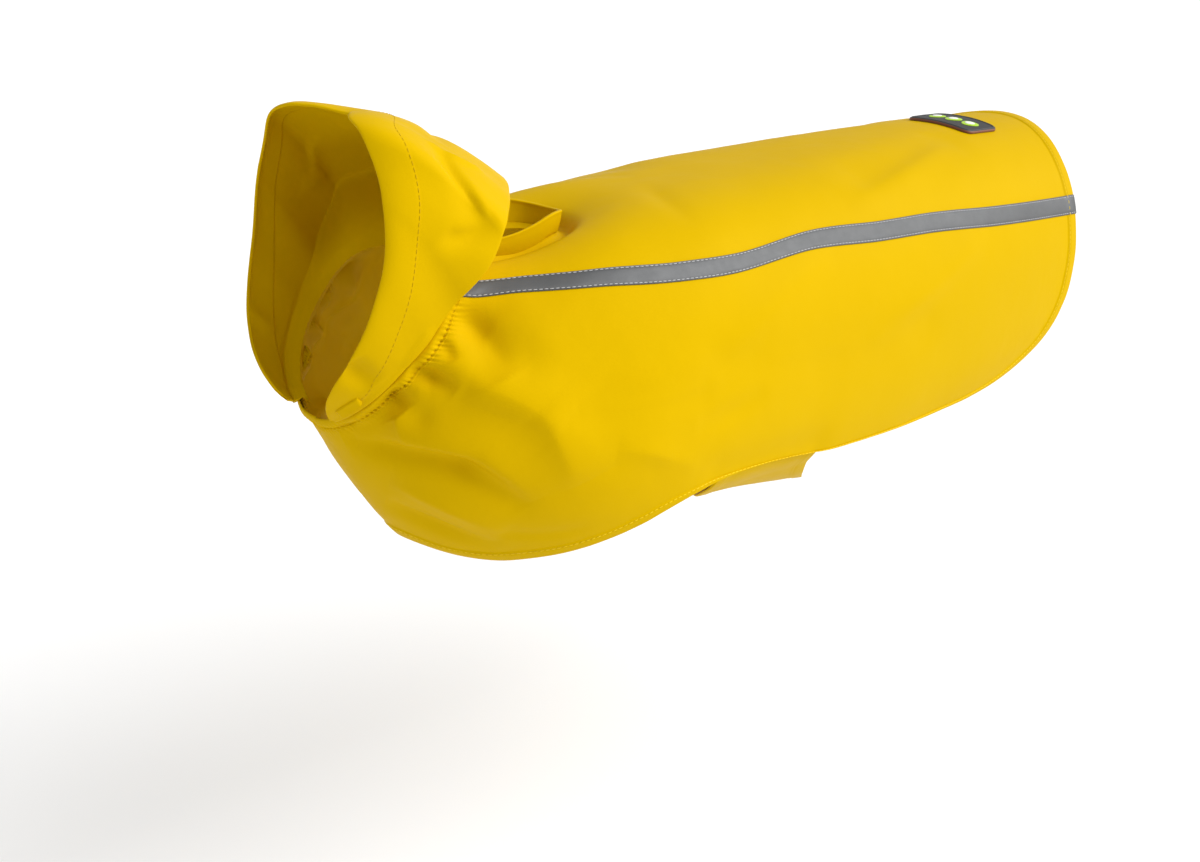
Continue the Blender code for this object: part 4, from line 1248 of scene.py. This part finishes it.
STITCHES = stitch_tree()


def sew(name, lines, finish, slot, pitch=STITCH_PITCH, length=STITCH_LENGTH, thread=THREAD):
    """One piece of stitches along lines of points, each with its directions outwards."""
    points = np.concatenate([line for line, _ in lines])
    outwards = np.concatenate([direction for _, direction in lines])
    links = []
    first = 0
    for line, _ in lines:
        links += [(number, number + 1) for number in range(first, first + len(line) - 1)]
        first += len(line)
    mesh = bpy.data.meshes.new(name)
    mesh.from_pydata(points.tolist(), links, [])
    mesh.attributes.new("outwards", "FLOAT_VECTOR", "POINT").data.foreach_set("vector", outwards.ravel())
    piece = placed(name, mesh)
    made = piece.modifiers.new("stitches", "NODES")
    made.node_group = STITCHES
    values = {"Pitch": pitch, "Length": length, "Thread": thread, "Finish": finish}
    for item in STITCHES.interface.items_tree:
        if item.in_out == "INPUT" and item.name in values:
            made[item.identifier] = values[item.name]
    kept_on(settled(piece), slot)


def on_cloth(along, around, lift, distance=1.0):
    return cloth(along, around, lift, distance), form_normal(along, around)


YELLOW_THREAD = thread_finish("yellow_thread", (0.86, 0.62, 0.02))
CLOTH_THREAD = thread_finish("cloth_coloured_thread", (0.57, 0.36, 0.002))
PALE_THREAD = thread_finish("pale_thread", (0.55, 0.55, 0.56))

hem_lines = []
hem_lift = float(hem_profile(np.array(HEM_STITCH))[0]) + 0.00012
for side in (1, -1):
    stops = []
    for share in np.linspace(0, 1, 90):
        stops.append(walk(back_rib(share), [-HEM_STITCH])[:2])
    for share in np.linspace(0.004, 1, 320):
        stops.append(walk(side_rib(share), [-HEM_STITCH])[:2])
    along, around = np.array(stops)[:, :, 0].T
    hem_lines.append(on_cloth(along, side * around, hem_lift))
sew("hem_stitches", hem_lines, YELLOW_THREAD, "rain_cloth")

around = np.linspace(-150, 150, 700)
fine_profile, fine_edge = hood_rows(around)
share = np.array([np.interp(HOOD_STITCH * min(1.0, column[0] / SHORT_HOOD), column[::-1], rows[::-1])
                  for rows, column in zip(fine_profile.T, fine_edge.T)])
hood_lift = np.full(len(around), 0.00158)
casing_line = hood_face(share, around, hood_lift), hood_normal(share, around)
sew("hood_stitches", [casing_line], CLOTH_THREAD, "rain_cloth", thread=FINE_THREAD)

around = np.linspace(-180, 180, 1600)
at_seam = slopes_of(form, neckline(around), around, COAT_REACH)[0]
along = neckline(around) + GATHER_LINE / np.linalg.norm(at_seam, axis=-1)
gathered_line = on_cloth(along, around, CASING_OUTSIDE - 0.00055, np.full(len(around), GATHER_LINE))
sew("gather_stitches", [gathered_line], CLOTH_THREAD, "rain_cloth", 0.0021, 0.0015, FINE_THREAD)

for name, side in (("left", 1), ("right", -1)):
    lines = []
    for offset in (-TAPE_STITCH, TAPE_STITCH):
        distances = np.linspace(0.0066, seam_length(offset) - 0.0006, 500)
        along, around, under = tape_place(offset, distances, side)
        lines.append(on_cloth(along, around, under + TAPE_OVER + TAPE_THICKNESS - 0.00006, distances))
    sew("tape_stitches_" + name, lines, PALE_THREAD, "reflective_tape", 0.0025, 0.0020, 0.00036)
    offsets = np.linspace(-0.0052, 0.0052, 26)
    crossing = []
    for offset in offsets:
        along, around, under = tape_place(offset, np.array([seam_length(offset) - HEM_STITCH]), side)
        crossing.append((along[0], around[0], under[0]))
    along, around, under = np.array(crossing).T
    crossing_line = on_cloth(along, around, under + TAPE_OVER + TAPE_THICKNESS)
    sew("tape_crossing_" + name, [crossing_line], YELLOW_THREAD, "rain_cloth")

lines = []
for distance in (FLAP_STITCH, FLAP_WIDTH - FLAP_STITCH):
    around = np.linspace(FLAP_END + 1, 359 - FLAP_END, 400)
    lines.append(flap_place(distance / FLAP_WIDTH, around, np.full(len(around), -0.00042)))
sew("flap_stitches", lines, YELLOW_THREAD, "rain_cloth")


# ----------------------------------------------------------
# The studio
# A pale floor at the height that the wearer stands on, a bright room and one large soft light.
FLOOR_HEIGHT = -0.36
FLOOR_SIZE = 24.0
KEY_TOWARDS = (0.58, -0.60, 0.55)
KEY_SPREAD = 50            # degrees
KEY_STRENGTH = 3.5
ROOM_STRENGTH = 0.64


def studio_floor():
    finish = Finish("studio_floor", Roughness=0.9, Specular_IOR_Level=0.1)
    finish.coloured(finish.swells(3.0), (0.93, 0.93, 0.93), (0.95, 0.95, 0.95))
    mesh = bpy.data.meshes.new("floor")
    half = FLOOR_SIZE / 2
    corners = [(x, y, FLOOR_HEIGHT) for x, y in ((-half, -half), (half, -half), (half, half), (-half, half))]
    mesh.from_pydata(corners, [], [(0, 1, 2, 3)])
    mesh.materials.append(finish.material)
    placed("floor", mesh)


def soft_light(name, towards, spread, strength):
    """A very large far lamp in this direction, as wide as `spread` degrees."""
    light = bpy.data.lights.new(name, "SUN")
    light.energy = strength
    light.angle = math.radians(spread)
    placed(name, light).rotation_euler = Vector(towards).to_track_quat("Z", "Y").to_euler()


studio_floor()
soft_light("key_light", KEY_TOWARDS, KEY_SPREAD, KEY_STRENGTH)
world = bpy.data.worlds.new("studio")
world.use_nodes = True
room = world.node_tree.nodes["Background"].inputs
room["Color"].default_value = (1, 1, 1, 1)
room["Strength"].default_value = ROOM_STRENGTH
bpy.context.scene.world = world
bpy.context.scene.view_settings.view_transform = "Standard"
